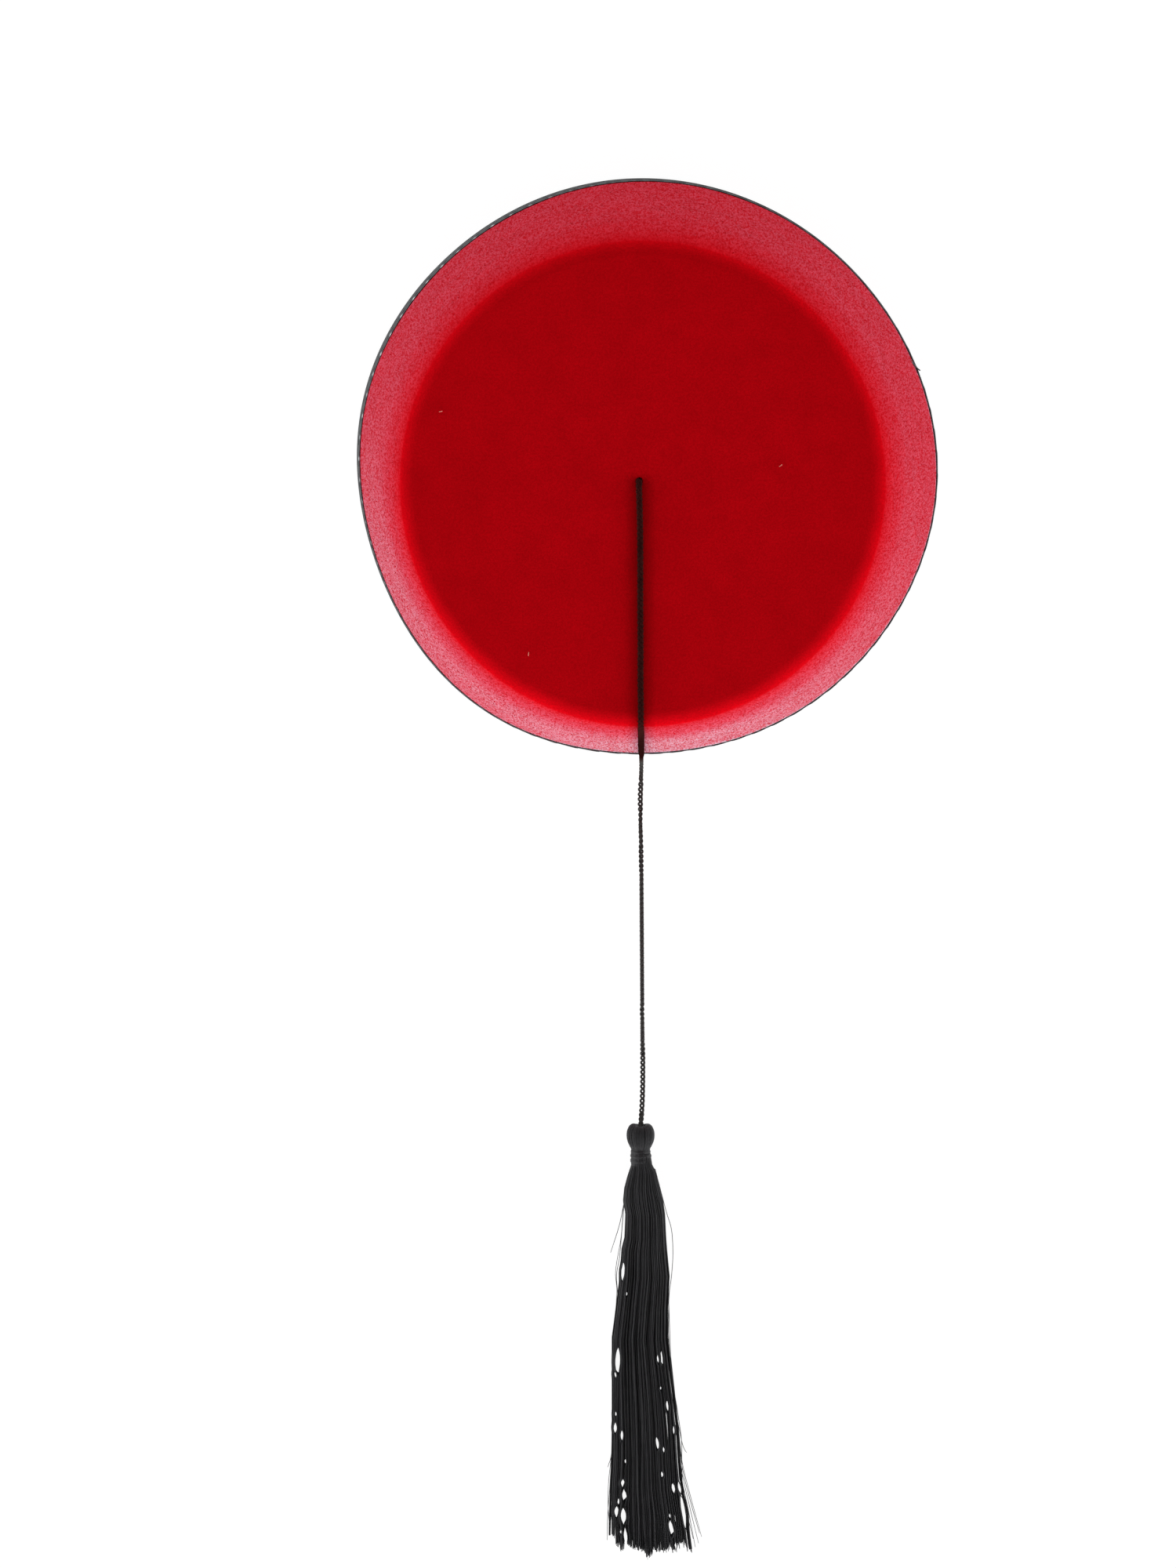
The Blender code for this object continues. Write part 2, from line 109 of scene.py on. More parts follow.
# The cord's route in mm, from the loop above the hole to the tassel's head. Columns: x, y, z.
CORD_ROUTE = (
    (-1.0, -1.4, 118.9),
    (-0.7, -12.0, 118.9),
    (-0.6, -24.0, 118.8),
    (-0.6, -36.0, 118.6),
    (-0.5, -48.0, 118.4),
    (-0.5, -60.0, 118.2),
    (-0.4, -66.0, 118.0),
    (-0.4, -70.4, 117.7),
    (-0.4, -72.9, 116.6),
    (-0.4, -74.5, 114.7),
    (-0.4, -75.4, 111.8),
    (-0.4, -76.5, 106.8),
    (-0.4, -77.9, 100.8),
    (-0.5, -79.7, 91.9),
    (-0.6, -82.3, 77.9),
    (-0.7, -84.5, 63.9),
    (-0.8, -86.8, 49.9),
    (-0.9, -88.9, 36.0),
    (-1.0, -91.0, 24.0),
    (-1.0, -92.4, 15.5),
    (-1.1, -94.3, 8.9),
    (-1.1, -97.0, 4.0),
    (-1.2, -101.0, 1.6),
    (-1.5, -108.0, 1.2),
    (-1.4, -117.0, 1.2),
    (-1.1, -127.0, 1.2),
    (-1.0, -141.0, 1.2),
    (-0.9, -155.0, 1.2),
    (-0.8, -169.0, 1.2),
    (-0.7, -183.0, 1.2),
    (-0.6, -196.0, 1.2),
    (-0.6, -203.0, 1.4),
    (-0.7, -208.5, 2.2),
    (-0.9, -213.0, 3.4),
    (-1.1, -216.8, 4.0),
)

# How the flat plait turns over and how loose it is. Columns: mm along the cord, turn in degrees
# (0 with its flat side up, 90 on its edge), looseness of one strand (0 where it is drawn tight).
PLAIT_TURNS = (
    (0, 0, 0.0),
    (40, 8, 0.0),
    (90, -6, 0.0),
    (173, 8, 0.0),
    (180, 84, 0.0),
    (193, 90, 0.1),
    (196, 15, 0.5),
    (199, 0, 0.5),
    (202, -8, 0.5),
    (205, -60, 0.5),
    (207, -72, 0.3),
    (211, -96, 0.1),
    (215, -104, 0.2),
    (217, -140, 0.5),
    (223, -132, 0.5),
    (226, -96, 0.1),
    (244, -84, 0.0),
    (268, -92, 0.1),
    (270.5, -128, 0.5),
    (272, -125, 0.5),
    (274, -96, 0.1),
    (281, -84, 0.0),
    (284, -42, 0.3),
    (287, -12, 0.5),
    (290, 0, 0.5),
    (304, 6, 0.5),
    (308, 60, 0.0),
)

# ---------------------------------------------------------------- the tassel's shape
# The head's outline from the dimple at the cord to the neck, in mm.
# Columns: distance along from the tassel's top, half width, half height.
HEAD_OUTLINE = (
    (2.6, 0.8, 0.8),
    (1.0, 1.5, 1.4),
    (0.3, 2.5, 2.3),
    (0.9, 3.6, 3.2),
    (2.4, 4.35, 3.75),
    (4.2, 4.55, 3.9),
    (6.0, 4.25, 3.7),
    (7.6, 3.55, 3.3),
    (8.8, 3.0, 2.95),
    (11.5, 2.75, 2.7),
)

SKIRT_START = 10.0           # mm from the tassel's top to where the skirt's threads start

# The skirt's outline seen from above, in mm from the tassel's top.
# Columns: distance along, left edge, right edge, height over the floor.
SKIRT_EDGES = (
    (10.0, -3.9, 2.1, 6.6),
    (14.4, -4.4, 2.8, 6.8),
    (15.9, -5.0, 3.9, 6.9),
    (18.1, -5.7, 4.5, 6.8),
    (22.1, -6.7, 5.3, 6.5),
    (26.5, -7.1, 6.4, 6.2),
    (30.7, -6.3, 7.0, 5.9),
    (39.1, -6.6, 7.4, 5.6),
    (43.1, -7.6, 7.7, 5.4),
    (52.1, -8.2, 8.6, 5.2),
    (63.1, -9.5, 8.1, 5.0),
    (73.1, -10.8, 8.1, 4.8),
    (84.1, -10.8, 9.3, 4.6),
    (94.6, -10.8, 10.7, 4.4),
    (103.0, -10.8, 11.6, 4.2),
    (114.0, -10.8, 12.3, 4.0),
    (124.6, -11.4, 13.2, 3.8),
    (134.0, -11.7, 15.0, 3.6),
    (141.0, -11.7, 15.6, 3.4),
    (149.0, -12.0, 16.6, 3.2),
)

# Where the threads end. Columns: across the floor in mm, distance from the tassel's top in mm.
THREAD_ENDS = (
    (-12.2, 142.4),
    (-11.0, 140.6),
    (-10.2, 141.0),
    (-9.4, 144.0),
    (-8.6, 144.2),
    (-7.9, 146.2),
    (-7.1, 141.6),
    (-6.3, 143.2),
    (-4.4, 144.2),
    (-3.2, 145.0),
    (-0.8, 145.5),
    (0.4, 145.6),
    (0.8, 147.4),
    (1.6, 147.8),
    (2.3, 147.4),
    (3.1, 145.3),
    (3.9, 143.0),
    (4.7, 145.8),
    (7.9, 145.5),
    (8.7, 144.0),
    (9.5, 143.8),
    (10.2, 146.2),
    (11.0, 144.8),
    (12.6, 143.6),
    (14.2, 142.4),
    (15.0, 145.2),
    (15.8, 146.2),
    (16.8, 145.6),
)

# The open slits between the threads. Columns: distance along from the tassel's top in mm,
# across in mm, length in mm, width in mm, lean sideways for each mm along.
SLITS = (
    (50.5, -7.1, 6.0, 0.9, -0.10),
    (57.8, -5.7, 1.4, 0.4, 0.00),
    (79.8, 5.8, 5.2, 0.5, 0.03),
    (80.2, 4.6, 2.8, 0.5, 0.01),
    (80.9, -8.9, 8.8, 1.3, -0.04),
    (85.6, -9.6, 2.2, 0.5, 0.05),
    (90.3, 5.6, 1.4, 0.5, 0.00),
    (96.2, 7.8, 4.2, 0.6, 0.09),
    (99.1, -9.4, 1.8, 0.5, 0.00),
    (103.9, -9.5, 3.4, 0.8, 0.04),
    (104.5, 10.0, 2.8, 0.4, 0.09),
    (106.2, -7.4, 3.8, 0.7, -0.05),
    (108.8, 4.6, 4.8, 0.8, 0.11),
    (111.0, 6.6, 1.8, 0.5, 0.00),
    (115.2, -6.2, 1.9, 0.5, 0.00),
    (119.4, 6.2, 2.5, 0.5, 0.20),
    (122.5, -7.1, 2.6, 1.1, -0.06),
    (124.1, 10.0, 3.8, 0.9, 0.17),
    (124.2, 12.0, 4.0, 0.7, 0.20),
    (126.8, -6.4, 3.8, 1.2, 0.12),
    (129.2, -8.5, 2.4, 0.5, -0.07),
    (132.5, 13.3, 11.0, 1.1, 0.13),
    (132.6, -9.1, 4.0, 1.3, 0.02),
    (133.9, -6.8, 5.6, 1.6, 0.00),
    (134.0, 8.7, 1.8, 0.5, 0.00),
    (137.9, 9.3, 5.2, 1.2, 0.21),
    (139.4, -7.6, 2.0, 0.7, 0.00),
    (140.6, -6.0, 4.6, 0.9, 0.12),
    (143.8, 10.6, 1.4, 0.6, 0.00),
)

# Threads that stray from the skirt. Each row is one thread's line on the floor:
# pairs of distance along and across in mm, from where it leaves the skirt to its end.
STRAYS = (
    ((16, -4.6), (26.7, -6.6), (35.2, -8.3), (44.5, -11.2)),
    ((16, -4.7), (26.7, -6.7), (39.2, -7.7), (50.4, -9.5), (57.8, -9.1), (70, -10.0)),
    ((20, -5.9), (30, -6.9), (45.0, -8.1), (52, -9.2), (60, -8.9), (76, -10.4)),
    ((16, 3.6), (29.9, 7.2), (36.5, 9.1), (44.4, 9.6), (51.9, 9.2), (60, 8.3), (76, 8.2)),
    ((40, 7.2), (70, 8.1), (92, 9.8), (100.9, 11.2), (109.8, 13.0), (112.4, 14.3)),
    ((60, 8.2), (84, 9.2), (98, 11.2), (108, 12.6), (114, 12.7), (122, 12.9)),
    ((80, 9.0), (104, 11.6), (116, 12.9), (128, 15.8), (141.3, 19.4)),
    ((80, 8.8), (104, 11.5), (117, 12.8), (129, 15.6), (140.0, 18.7)),
    ((80, 8.6), (104, 11.3), (118, 12.6), (131, 15.4), (143.5, 18.4)),
    ((80, 8.4), (104, 11.1), (119, 12.3), (132, 14.9), (144.9, 17.3)),
    ((90, 9.2), (106, 11.0), (120, 12.2), (133, 14.5), (142.0, 16.6)),
    ((72, -10.3), (96, -10.6), (112, -10.8), (117.5, -12.1)),
    ((84, -10.6), (110, -10.8), (124, -11.4), (134, -12.1), (142.6, -12.3)),
    ((84, -10.4), (110, -10.7), (122, -11.8), (130, -12.0), (137, -11.6)),
    ((60, 0.6), (100, 1.0), (130, 1.2), (149.2, 1.3)),
)

STITCH_TAIL = (              # loose end of the rim's stitching, in mm from the hat's axis
    (85.4, 36.4, 6.4),
    (86.4, 35.3, 5.0),
    (87.6, 34.0, 3.6),
    (88.7, 32.9, 2.7),
    (89.7, 32.1, 2.2),
)

LINT_LENGTH = 0.0010
LINT_THICKNESS = 0.00024
LINT = (                     # pale specks caught in the top's nap: x, y in mm, turn in degrees
    (-61.3, 22.4, 12),
    (42.0, 6.1, 35),
    (-34.7, -51.4, 80),
)


def linear(hex_colour):
    """The linear red, green and blue of an sRGB hex colour."""
    channels = [int(hex_colour[i:i + 2], 16) / 255 for i in (0, 2, 4)]
    return tuple(c / 12.92 if c <= 0.04045 else ((c + 0.055) / 1.055) ** 2.4 for c in channels)


def length_setting(name, description, default):
    return FloatProperty(name=name, description=description, default=default,
                         min=0.0, unit="LENGTH", precision=5)


def colour_setting(name, description, hex_colour):
    return FloatVectorProperty(name=name, description=description, subtype="COLOR", size=3,
                               min=0.0, max=1.0, default=linear(hex_colour))


# ---------------------------------------------------------------- settings
class FezFeltSettings(bpy.types.PropertyGroup):
    thickness: length_setting("Felt thickness", "Wall of the moulded felt", 0.002)
    unevenness: length_setting("Unevenness", "Slow lumps left by hand moulding", 0.0003)
    nap_length: length_setting("Nap length", "Tufts of fibre that stand off the felt", 0.0006)
    nap_width: length_setting("Nap width", "Width of a tuft at its root", 0.00026)
    nap_tufts: IntProperty(name="Nap tufts", description="Tufts on each square centimetre of wall",
                           default=16, min=0)
    colour: colour_setting("Felt", "Colour of the felt", "B2040E")
    # Haze and flecks are painted sheen, mixed into the felt's colour where it is seen along its
    # surface.
    sheen_haze_colour: colour_setting("Haze", "Colour of the lying fibres, seen along the felt", "B687A8")
    sheen_fleck_colour: colour_setting("Flecks", "Colour of the fibre ends that have lost their dye",
                                 "BCB0BA")


class FezRibbonSettings(bpy.types.PropertyGroup):
    leg: length_setting("Width on each side", "How far the ribbon reaches up the felt", 0.0022)
    uneven_fold: length_setting("Uneven fold", "How much further it reaches up at one side", 0.0070)
    thickness: length_setting("Ribbon thickness", "Wall of the folded ribbon", 0.00025)
    stitch_spacing: length_setting("Stitch spacing", "From one needle hole to the next", 0.007)
    stitch_thread: length_setting("Stitch thread", "Diameter of the sewing thread", 0.0003)
    colour: colour_setting("Ribbon", "Colour of the ribbon", "313233")


class FezCordSettings(bpy.types.PropertyGroup):
    width: length_setting("Cord width", "Width of the flat plait", 0.0020)
    thickness: length_setting("Cord thickness", "Thickness of the flat plait", 0.0015)
    strand: length_setting("Strand", "Diameter of a strand where the plait is tight", 0.00102)
    plait_length: length_setting("Plait length", "From where a strand crosses to where it is back",
                                 0.0048)
    colour: colour_setting("Cord", "Colour of the cord", "3D3C3B")
    # Used on the cord above 12 mm, where it lies on the felt: it is drawn darker and redder there.
    upper_cord_colour: colour_setting("Clinging fluff", "Colour of the cord where the felt's red "
                                    "fluff clings to it", "391816")


class FezTasselSettings(bpy.types.PropertyGroup):
    threads: IntProperty(name="Threads", description="Threads in the skirt", default=460, min=1)
    thread: length_setting("Thread", "Diameter of a skirt thread", 0.00038)
    head_threads: IntProperty(name="Head threads", description="Threads folded over the head",
                              default=120, min=3)
    wrap_turns: IntProperty(name="Wrap turns", description="Turns of thread round the neck",
                            default=14, min=1)
    seed: IntProperty(name="Seed", description="Changes how the threads lie", default=7)
    colour: colour_setting("Thread", "Colour of the tassel's thread", "1F1F21")


class FezStageSettings(bpy.types.PropertyGroup):
    low_light: FloatProperty(name="Low light", description="Brightness of the studio low down",
                             default=3.45, min=0.0)
    high_light: FloatProperty(name="High light", description="Brightness of the studio overhead",
                              default=0.31, min=0.0)
    near_side: FloatProperty(name="Near side", description="Share of the light on the near side",
                             default=1.8, min=0.0)
    far_side: FloatProperty(name="Far side", description="Share of the light on the far side",
                            default=0.7, min=0.0)
    table_glow: FloatProperty(name="Table glow", description="Light from under the pale table",
                              default=0.93, min=0.0)


# ---------------------------------------------------------------- node trees
def socket_of(sockets, key):
    """A socket by its name, or by its place among those that are in use."""
    shown = [s for s in sockets if s.enabled]
    return shown[key] if isinstance(key, int) else next(s for s in shown if s.name == key)


def add(tree, kind, inputs=None, **settings):
    """Adds a node. Each input takes a value, another node's socket, or a node's first output."""
    node = tree.nodes.new(kind)
    for name, value in settings.items():
        setattr(node, name, value)
    for key, value in (inputs or {}).items():
        socket = socket_of(node.inputs, key)
        if isinstance(value, bpy.types.Node):
            tree.links.new(socket_of(value.outputs, 0), socket)
        elif isinstance(value, bpy.types.NodeSocket):
            tree.links.new(value, socket)
        else:
            socket.default_value = value
    return node


def new_tree(name, **sizes):
    """A geometry tree with a mesh, the named sizes and a finish as its inputs, and those inputs."""
    tree = bpy.data.node_groups.new(name, "GeometryNodeTree")
    tree.interface.new_socket("Geometry", in_out="OUTPUT", socket_type="NodeSocketGeometry")
    tree.interface.new_socket("Geometry", in_out="INPUT", socket_type="NodeSocketGeometry")
    for size, kind in sizes.items():
        tree.interface.new_socket(size, in_out="INPUT", socket_type=f"NodeSocket{kind}")
    tree.interface.new_socket("finish", in_out="INPUT", socket_type="NodeSocketMaterial")
    return tree, add(tree, "NodeGroupInput").outputs


def close_tree(tree, made, given):
    """Ends a tree: smooth faces, real geometry in place of instances, and the finish."""
    smooth = add(tree, "GeometryNodeSetShadeSmooth", {0: made})
    real = add(tree, "GeometryNodeRealizeInstances", {0: smooth})
    painted = add(tree, "GeometryNodeSetMaterial", {0: real, "Material": given["finish"]})
    add(tree, "NodeGroupOutput", {0: painted})
    return tree


def grow(name, tree, start, **values):
    """Runs a tree on a starting mesh and keeps the result as a plain mesh object."""
    source = bpy.data.objects.new(name + "_start", start)
    bpy.context.scene.collection.objects.link(source)
    modifier = source.modifiers.new(tree.name, "NODES")
    modifier.node_group = tree
    for item in tree.interface.items_tree:
        if item.in_out == "INPUT" and item.name in values:
            modifier[item.identifier] = values[item.name]
    evaluated = source.evaluated_get(bpy.context.evaluated_depsgraph_get())
    mesh = bpy.data.meshes.new_from_object(evaluated)
    source.modifiers.remove(modifier)
    bpy.data.objects.remove(source)
    if not mesh.polygons:
        raise RuntimeError(f"the tree {tree.name} made no faces for {name}")
    mesh.name = name
    piece = bpy.data.objects.new(name, mesh)
    bpy.context.scene.collection.objects.link(piece)
    return piece


def mesh_of_lines(name, lines, **attributes):
    """A mesh of open lines. Each attribute is a list of one value or vector for each point."""
    points = [tuple(point) for line in lines for point in line]
    edges, first = [], 0
    for line in lines:
        edges += [(first + i, first + i + 1) for i in range(len(line) - 1)]
        first += len(line)
    mesh = bpy.data.meshes.new(name)
    mesh.from_pydata(points, edges, [])
    for attribute, values in attributes.items():
        values = np.asarray(values, np.float32)
        if values.ndim == 2:
            mesh.attributes.new(attribute, "FLOAT_VECTOR", "POINT").data.foreach_set(
                "vector", values.ravel())
        else:
            mesh.attributes.new(attribute, "FLOAT", "POINT").data.foreach_set("value", values)
    return mesh


def turned_tree():
    """A closed outline turned round the hat's axis, pressed out of round by the rim's waves.

    The outline's points carry two shares: "climb", how much a point follows the fold's uneven
    height, and "bulge", how much it puffs out between stitches.
    """
    tree, given = new_tree("turned_body", steps="Int", height="Float", foot_radius="Float",
                           flat_radius="Float", hole="Vector", unevenness="Float",
                           uneven_fold="Float", fold_crest="Float", lean="Float",
                           puckers="Int", pucker="Float")
    outline = given["Geometry"]
    count = add(tree, "GeometryNodeAttributeDomainSize", {0: outline}).outputs["Point Count"]
    columns = add(tree, "ShaderNodeMath", {0: given["steps"], 1: 1.0}, operation="ADD")
    rows = add(tree, "ShaderNodeMath", {0: count, 1: 1.0}, operation="ADD")
    grid = add(tree, "GeometryNodeMeshGrid",
               {"Size X": 1.0, "Size Y": 1.0, "Vertices X": columns, "Vertices Y": rows})
    mapped = add(tree, "GeometryNodeStoreNamedAttribute",
                 {0: grid, "Name": "UVMap", "Value": grid.outputs["UV Map"]},
                 data_type="FLOAT2", domain="CORNER")
    place = add(tree, "GeometryNodeInputPosition")
    cell = add(tree, "ShaderNodeSeparateXYZ", {0: place})
    angle = add(tree, "ShaderNodeMath", {0: cell.outputs["X"], 1: tau, 2: pi},
                operation="MULTIPLY_ADD")
    half_count = add(tree, "ShaderNodeMath", {0: count, 1: 0.5}, operation="MULTIPLY")
    raw_row = add(tree, "ShaderNodeMath", {0: cell.outputs["Y"], 1: count, 2: half_count},
                  operation="MULTIPLY_ADD")
    whole_row = add(tree, "ShaderNodeMath", {0: raw_row}, operation="ROUND")
    row = add(tree, "ShaderNodeMath", {0: whole_row, 1: count}, operation="FLOORED_MODULO")
    flat_point = add(tree, "GeometryNodeSampleIndex",
                     {"Geometry": outline, "Value": place, "Index": row},
                     data_type="FLOAT_VECTOR")
    shares = {}
    for share in ("climb", "bulge"):
        stored = add(tree, "GeometryNodeInputNamedAttribute", {"Name": share}, data_type="FLOAT")
        shares[share] = add(tree, "GeometryNodeSampleIndex",
                            {"Geometry": outline, "Value": stored, "Index": row},
                            data_type="FLOAT")

    past_crest = add(tree, "ShaderNodeMath", {0: angle, 1: given["fold_crest"]},
                     operation="SUBTRACT")
    crest = add(tree, "ShaderNodeMath", {0: past_crest}, operation="COSINE")
    crest_share = add(tree, "ShaderNodeMath", {0: crest, 1: 0.5, 2: 0.5}, operation="MULTIPLY_ADD")
    one_sided = add(tree, "ShaderNodeMath", {0: crest_share, 1: 2.0}, operation="POWER")
    rise = add(tree, "ShaderNodeMath", {0: one_sided, 1: given["uneven_fold"]},
               operation="MULTIPLY")
    climbed = add(tree, "ShaderNodeMath", {0: rise, 1: shares["climb"]}, operation="MULTIPLY")
    inwards = add(tree, "ShaderNodeMath", {0: climbed, 1: given["lean"]}, operation="MULTIPLY")
    in_and_up = add(tree, "ShaderNodeCombineXYZ", {"X": inwards, "Z": climbed})
    set_point = add(tree, "ShaderNodeVectorMath", {0: flat_point, 1: in_and_up}, operation="ADD")

    turned = add(tree, "ShaderNodeVectorRotate", {"Vector": set_point, "Angle": angle},
                 rotation_type="Z_AXIS")
    wave = 0.0
    for waves, size, wave_crest in RIM_WAVES:
        phase = add(tree, "ShaderNodeMath", {0: angle, 1: float(waves), 2: -radians(wave_crest)},
                    operation="MULTIPLY_ADD")
        swing = add(tree, "ShaderNodeMath", {0: phase}, operation="COSINE")
        wave = add(tree, "ShaderNodeMath", {0: swing, 1: size * MM, 2: wave},
                   operation="MULTIPLY_ADD")
    parts = add(tree, "ShaderNodeSeparateXYZ", {0: set_point})
    low = add(tree, "ShaderNodeMapRange",
              {"Value": parts.outputs["Z"], "From Min": 0.0, "From Max": given["height"],
               "To Min": 1.0, "To Max": 0.0})
    low_wave = add(tree, "ShaderNodeMath", {0: wave, 1: low}, operation="MULTIPLY")

    half_puckers = add(tree, "ShaderNodeMath", {0: given["puckers"], 1: 0.5}, operation="MULTIPLY")
    stitch_phase = add(tree, "ShaderNodeMath", {0: angle, 1: half_puckers}, operation="MULTIPLY")
    between = add(tree, "ShaderNodeMath", {0: stitch_phase}, operation="SINE")
    puff = add(tree, "ShaderNodeMath", {0: between}, operation="ABSOLUTE")
    puff_size = add(tree, "ShaderNodeMath", {0: puff, 1: given["pucker"]}, operation="MULTIPLY")
    out = add(tree, "ShaderNodeMath", {0: puff_size, 1: shares["bulge"], 2: low_wave},
              operation="MULTIPLY_ADD")
    stretch = add(tree, "ShaderNodeMath", {0: out, 1: given["foot_radius"]}, operation="DIVIDE")
    factor = add(tree, "ShaderNodeMath", {0: stretch, 1: 1.0}, operation="ADD")
    scale = add(tree, "ShaderNodeCombineXYZ", {"X": factor, "Y": factor, "Z": 1.0})
    pressed = add(tree, "ShaderNodeVectorMath", {0: turned, 1: scale}, operation="MULTIPLY")

    near_axis = add(tree, "ShaderNodeMapRange",
                    {"Value": parts.outputs["X"], "From Min": 0.0,
                     "From Max": given["flat_radius"], "To Min": 1.0, "To Max": 0.0})
    hole_shift = add(tree, "ShaderNodeVectorMath", {0: given["hole"], "Scale": near_axis},
                     operation="SCALE")
    placed = add(tree, "ShaderNodeVectorMath", {0: pressed, 1: hole_shift}, operation="ADD")
    lumps = add(tree, "ShaderNodeTexNoise", {"Vector": turned, "Scale": 30.0, "Detail": 2.0})
    centred = add(tree, "ShaderNodeVectorMath", {0: lumps.outputs["Color"], 1: (0.5, 0.5, 0.5)},
                  operation="SUBTRACT")
    uneven = add(tree, "ShaderNodeVectorMath", {0: centred, "Scale": given["unevenness"]},
                 operation="SCALE")
    final = add(tree, "ShaderNodeVectorMath", {0: placed, 1: uneven}, operation="ADD")
    shaped = add(tree, "GeometryNodeSetPosition", {0: mapped, "Position": final})
    whole = add(tree, "GeometryNodeMergeByDistance", {0: shaped, "Distance": 1e-7})
    # Turning the outline this way round leaves the grid's faces pointing into the wall.
    outward = add(tree, "GeometryNodeFlipFaces", {0: whole})
    return close_tree(tree, outward, given)


def measure_lines(tree, lines):
    """Stores how far along its line each point is, as "along". Returns the lines and that."""
    along = add(tree, "GeometryNodeSplineParameter").outputs["Length"]
    return add(tree, "GeometryNodeStoreNamedAttribute",
               {0: lines, "Name": "along", "Value": along}, data_type="FLOAT"), along


def round_profile(tree, thickness, sides):
    """The section of a strand. Its "turn" attribute is the direction from the strand's middle."""
    radius = add(tree, "ShaderNodeMath", {0: thickness, 1: 0.5}, operation="MULTIPLY")
    circle = add(tree, "GeometryNodeCurvePrimitiveCircle", {"Resolution": sides, "Radius": radius})
    place = add(tree, "GeometryNodeInputPosition")
    turn = add(tree, "ShaderNodeVectorMath", {0: place}, operation="NORMALIZE")
    return add(tree, "GeometryNodeStoreNamedAttribute", {0: circle, "Name": "turn", "Value": turn},
               data_type="FLOAT_VECTOR")


def strand_tree():
    """A closed round strand along each line. The lines' "girth" thins it where it is under 1."""
    tree, given = new_tree("round_strands", thickness="Float", sides="Int")
    curves = add(tree, "GeometryNodeMeshToCurve", {0: given["Geometry"]})
    girth = add(tree, "GeometryNodeInputNamedAttribute", {"Name": "girth"}, data_type="FLOAT")
    tubes = add(tree, "GeometryNodeCurveToMesh",
                {"Curve": measure_lines(tree, curves)[0],
                 "Profile Curve": round_profile(tree, given["thickness"], given["sides"]),
                 "Scale": girth, "Fill Caps": True})
    return close_tree(tree, tubes, given)


def plait_tree():
    """Three strands plaited flat along a route, whose "side" attribute points across the plait.

    Where the route's "loose" attribute is over 0, each strand is thinner and swings wide on one
    side only, which opens a row of holes there.
    """
    tree, given = new_tree("flat_plait", plait_length="Float", sway="Float", rise="Float",
                           strand="Float", phase="Float")
    route = add(tree, "GeometryNodeMeshToCurve", {0: given["Geometry"]})
    measured, along = measure_lines(tree, route)
    tangent = add(tree, "GeometryNodeInputTangent")
    side = add(tree, "GeometryNodeInputNamedAttribute", {"Name": "side"},
               data_type="FLOAT_VECTOR")
    loose = add(tree, "GeometryNodeInputNamedAttribute", {"Name": "loose"}, data_type="FLOAT")
    above = add(tree, "ShaderNodeVectorMath", {0: tangent, 1: side}, operation="CROSS_PRODUCT")
    crossings = add(tree, "ShaderNodeMath", {0: tau, 1: given["plait_length"]}, operation="DIVIDE")
    profile = round_profile(tree, given["strand"], 8)
    girth = add(tree, "ShaderNodeMath", {0: loose, 1: -0.6, 2: 1.0}, operation="MULTIPLY_ADD")
    strands = add(tree, "GeometryNodeJoinGeometry")
    for number in range(3):
        start = add(tree, "ShaderNodeMath", {0: given["phase"], 1: tau * number / 3},
                    operation="ADD")
        turn = add(tree, "ShaderNodeMath", {0: along, 1: crossings, 2: start},
                   operation="MULTIPLY_ADD")
        swing = add(tree, "ShaderNodeMath", {0: turn}, operation="SINE")
        double = add(tree, "ShaderNodeMath", {0: turn, 1: 2.0}, operation="MULTIPLY")
        slack = add(tree, "ShaderNodeMath", {0: double}, operation="COSINE")
        centred = add(tree, "ShaderNodeMath", {0: slack, 1: 0.86}, operation="ADD")
        across = add(tree, "ShaderNodeMath", {0: centred, 1: loose, 2: swing},
                     operation="MULTIPLY_ADD")
        over = add(tree, "ShaderNodeMath", {0: double}, operation="SINE")
        sway = add(tree, "ShaderNodeMath", {0: across, 1: given["sway"]}, operation="MULTIPLY")
        rise = add(tree, "ShaderNodeMath", {0: over, 1: given["rise"]}, operation="MULTIPLY")
        sideways = add(tree, "ShaderNodeVectorMath", {0: side, "Scale": sway}, operation="SCALE")
        upwards = add(tree, "ShaderNodeVectorMath", {0: above, "Scale": rise}, operation="SCALE")
        offset = add(tree, "ShaderNodeVectorMath", {0: sideways, 1: upwards}, operation="ADD")
        line = add(tree, "GeometryNodeSetPosition", {0: measured, "Offset": offset})
        tube = add(tree, "GeometryNodeCurveToMesh",
                   {"Curve": line, "Profile Curve": profile, "Scale": girth,
                    "Fill Caps": True})
        tree.links.new(tube.outputs[0], strands.inputs[0])
    return close_tree(tree, strands, given)


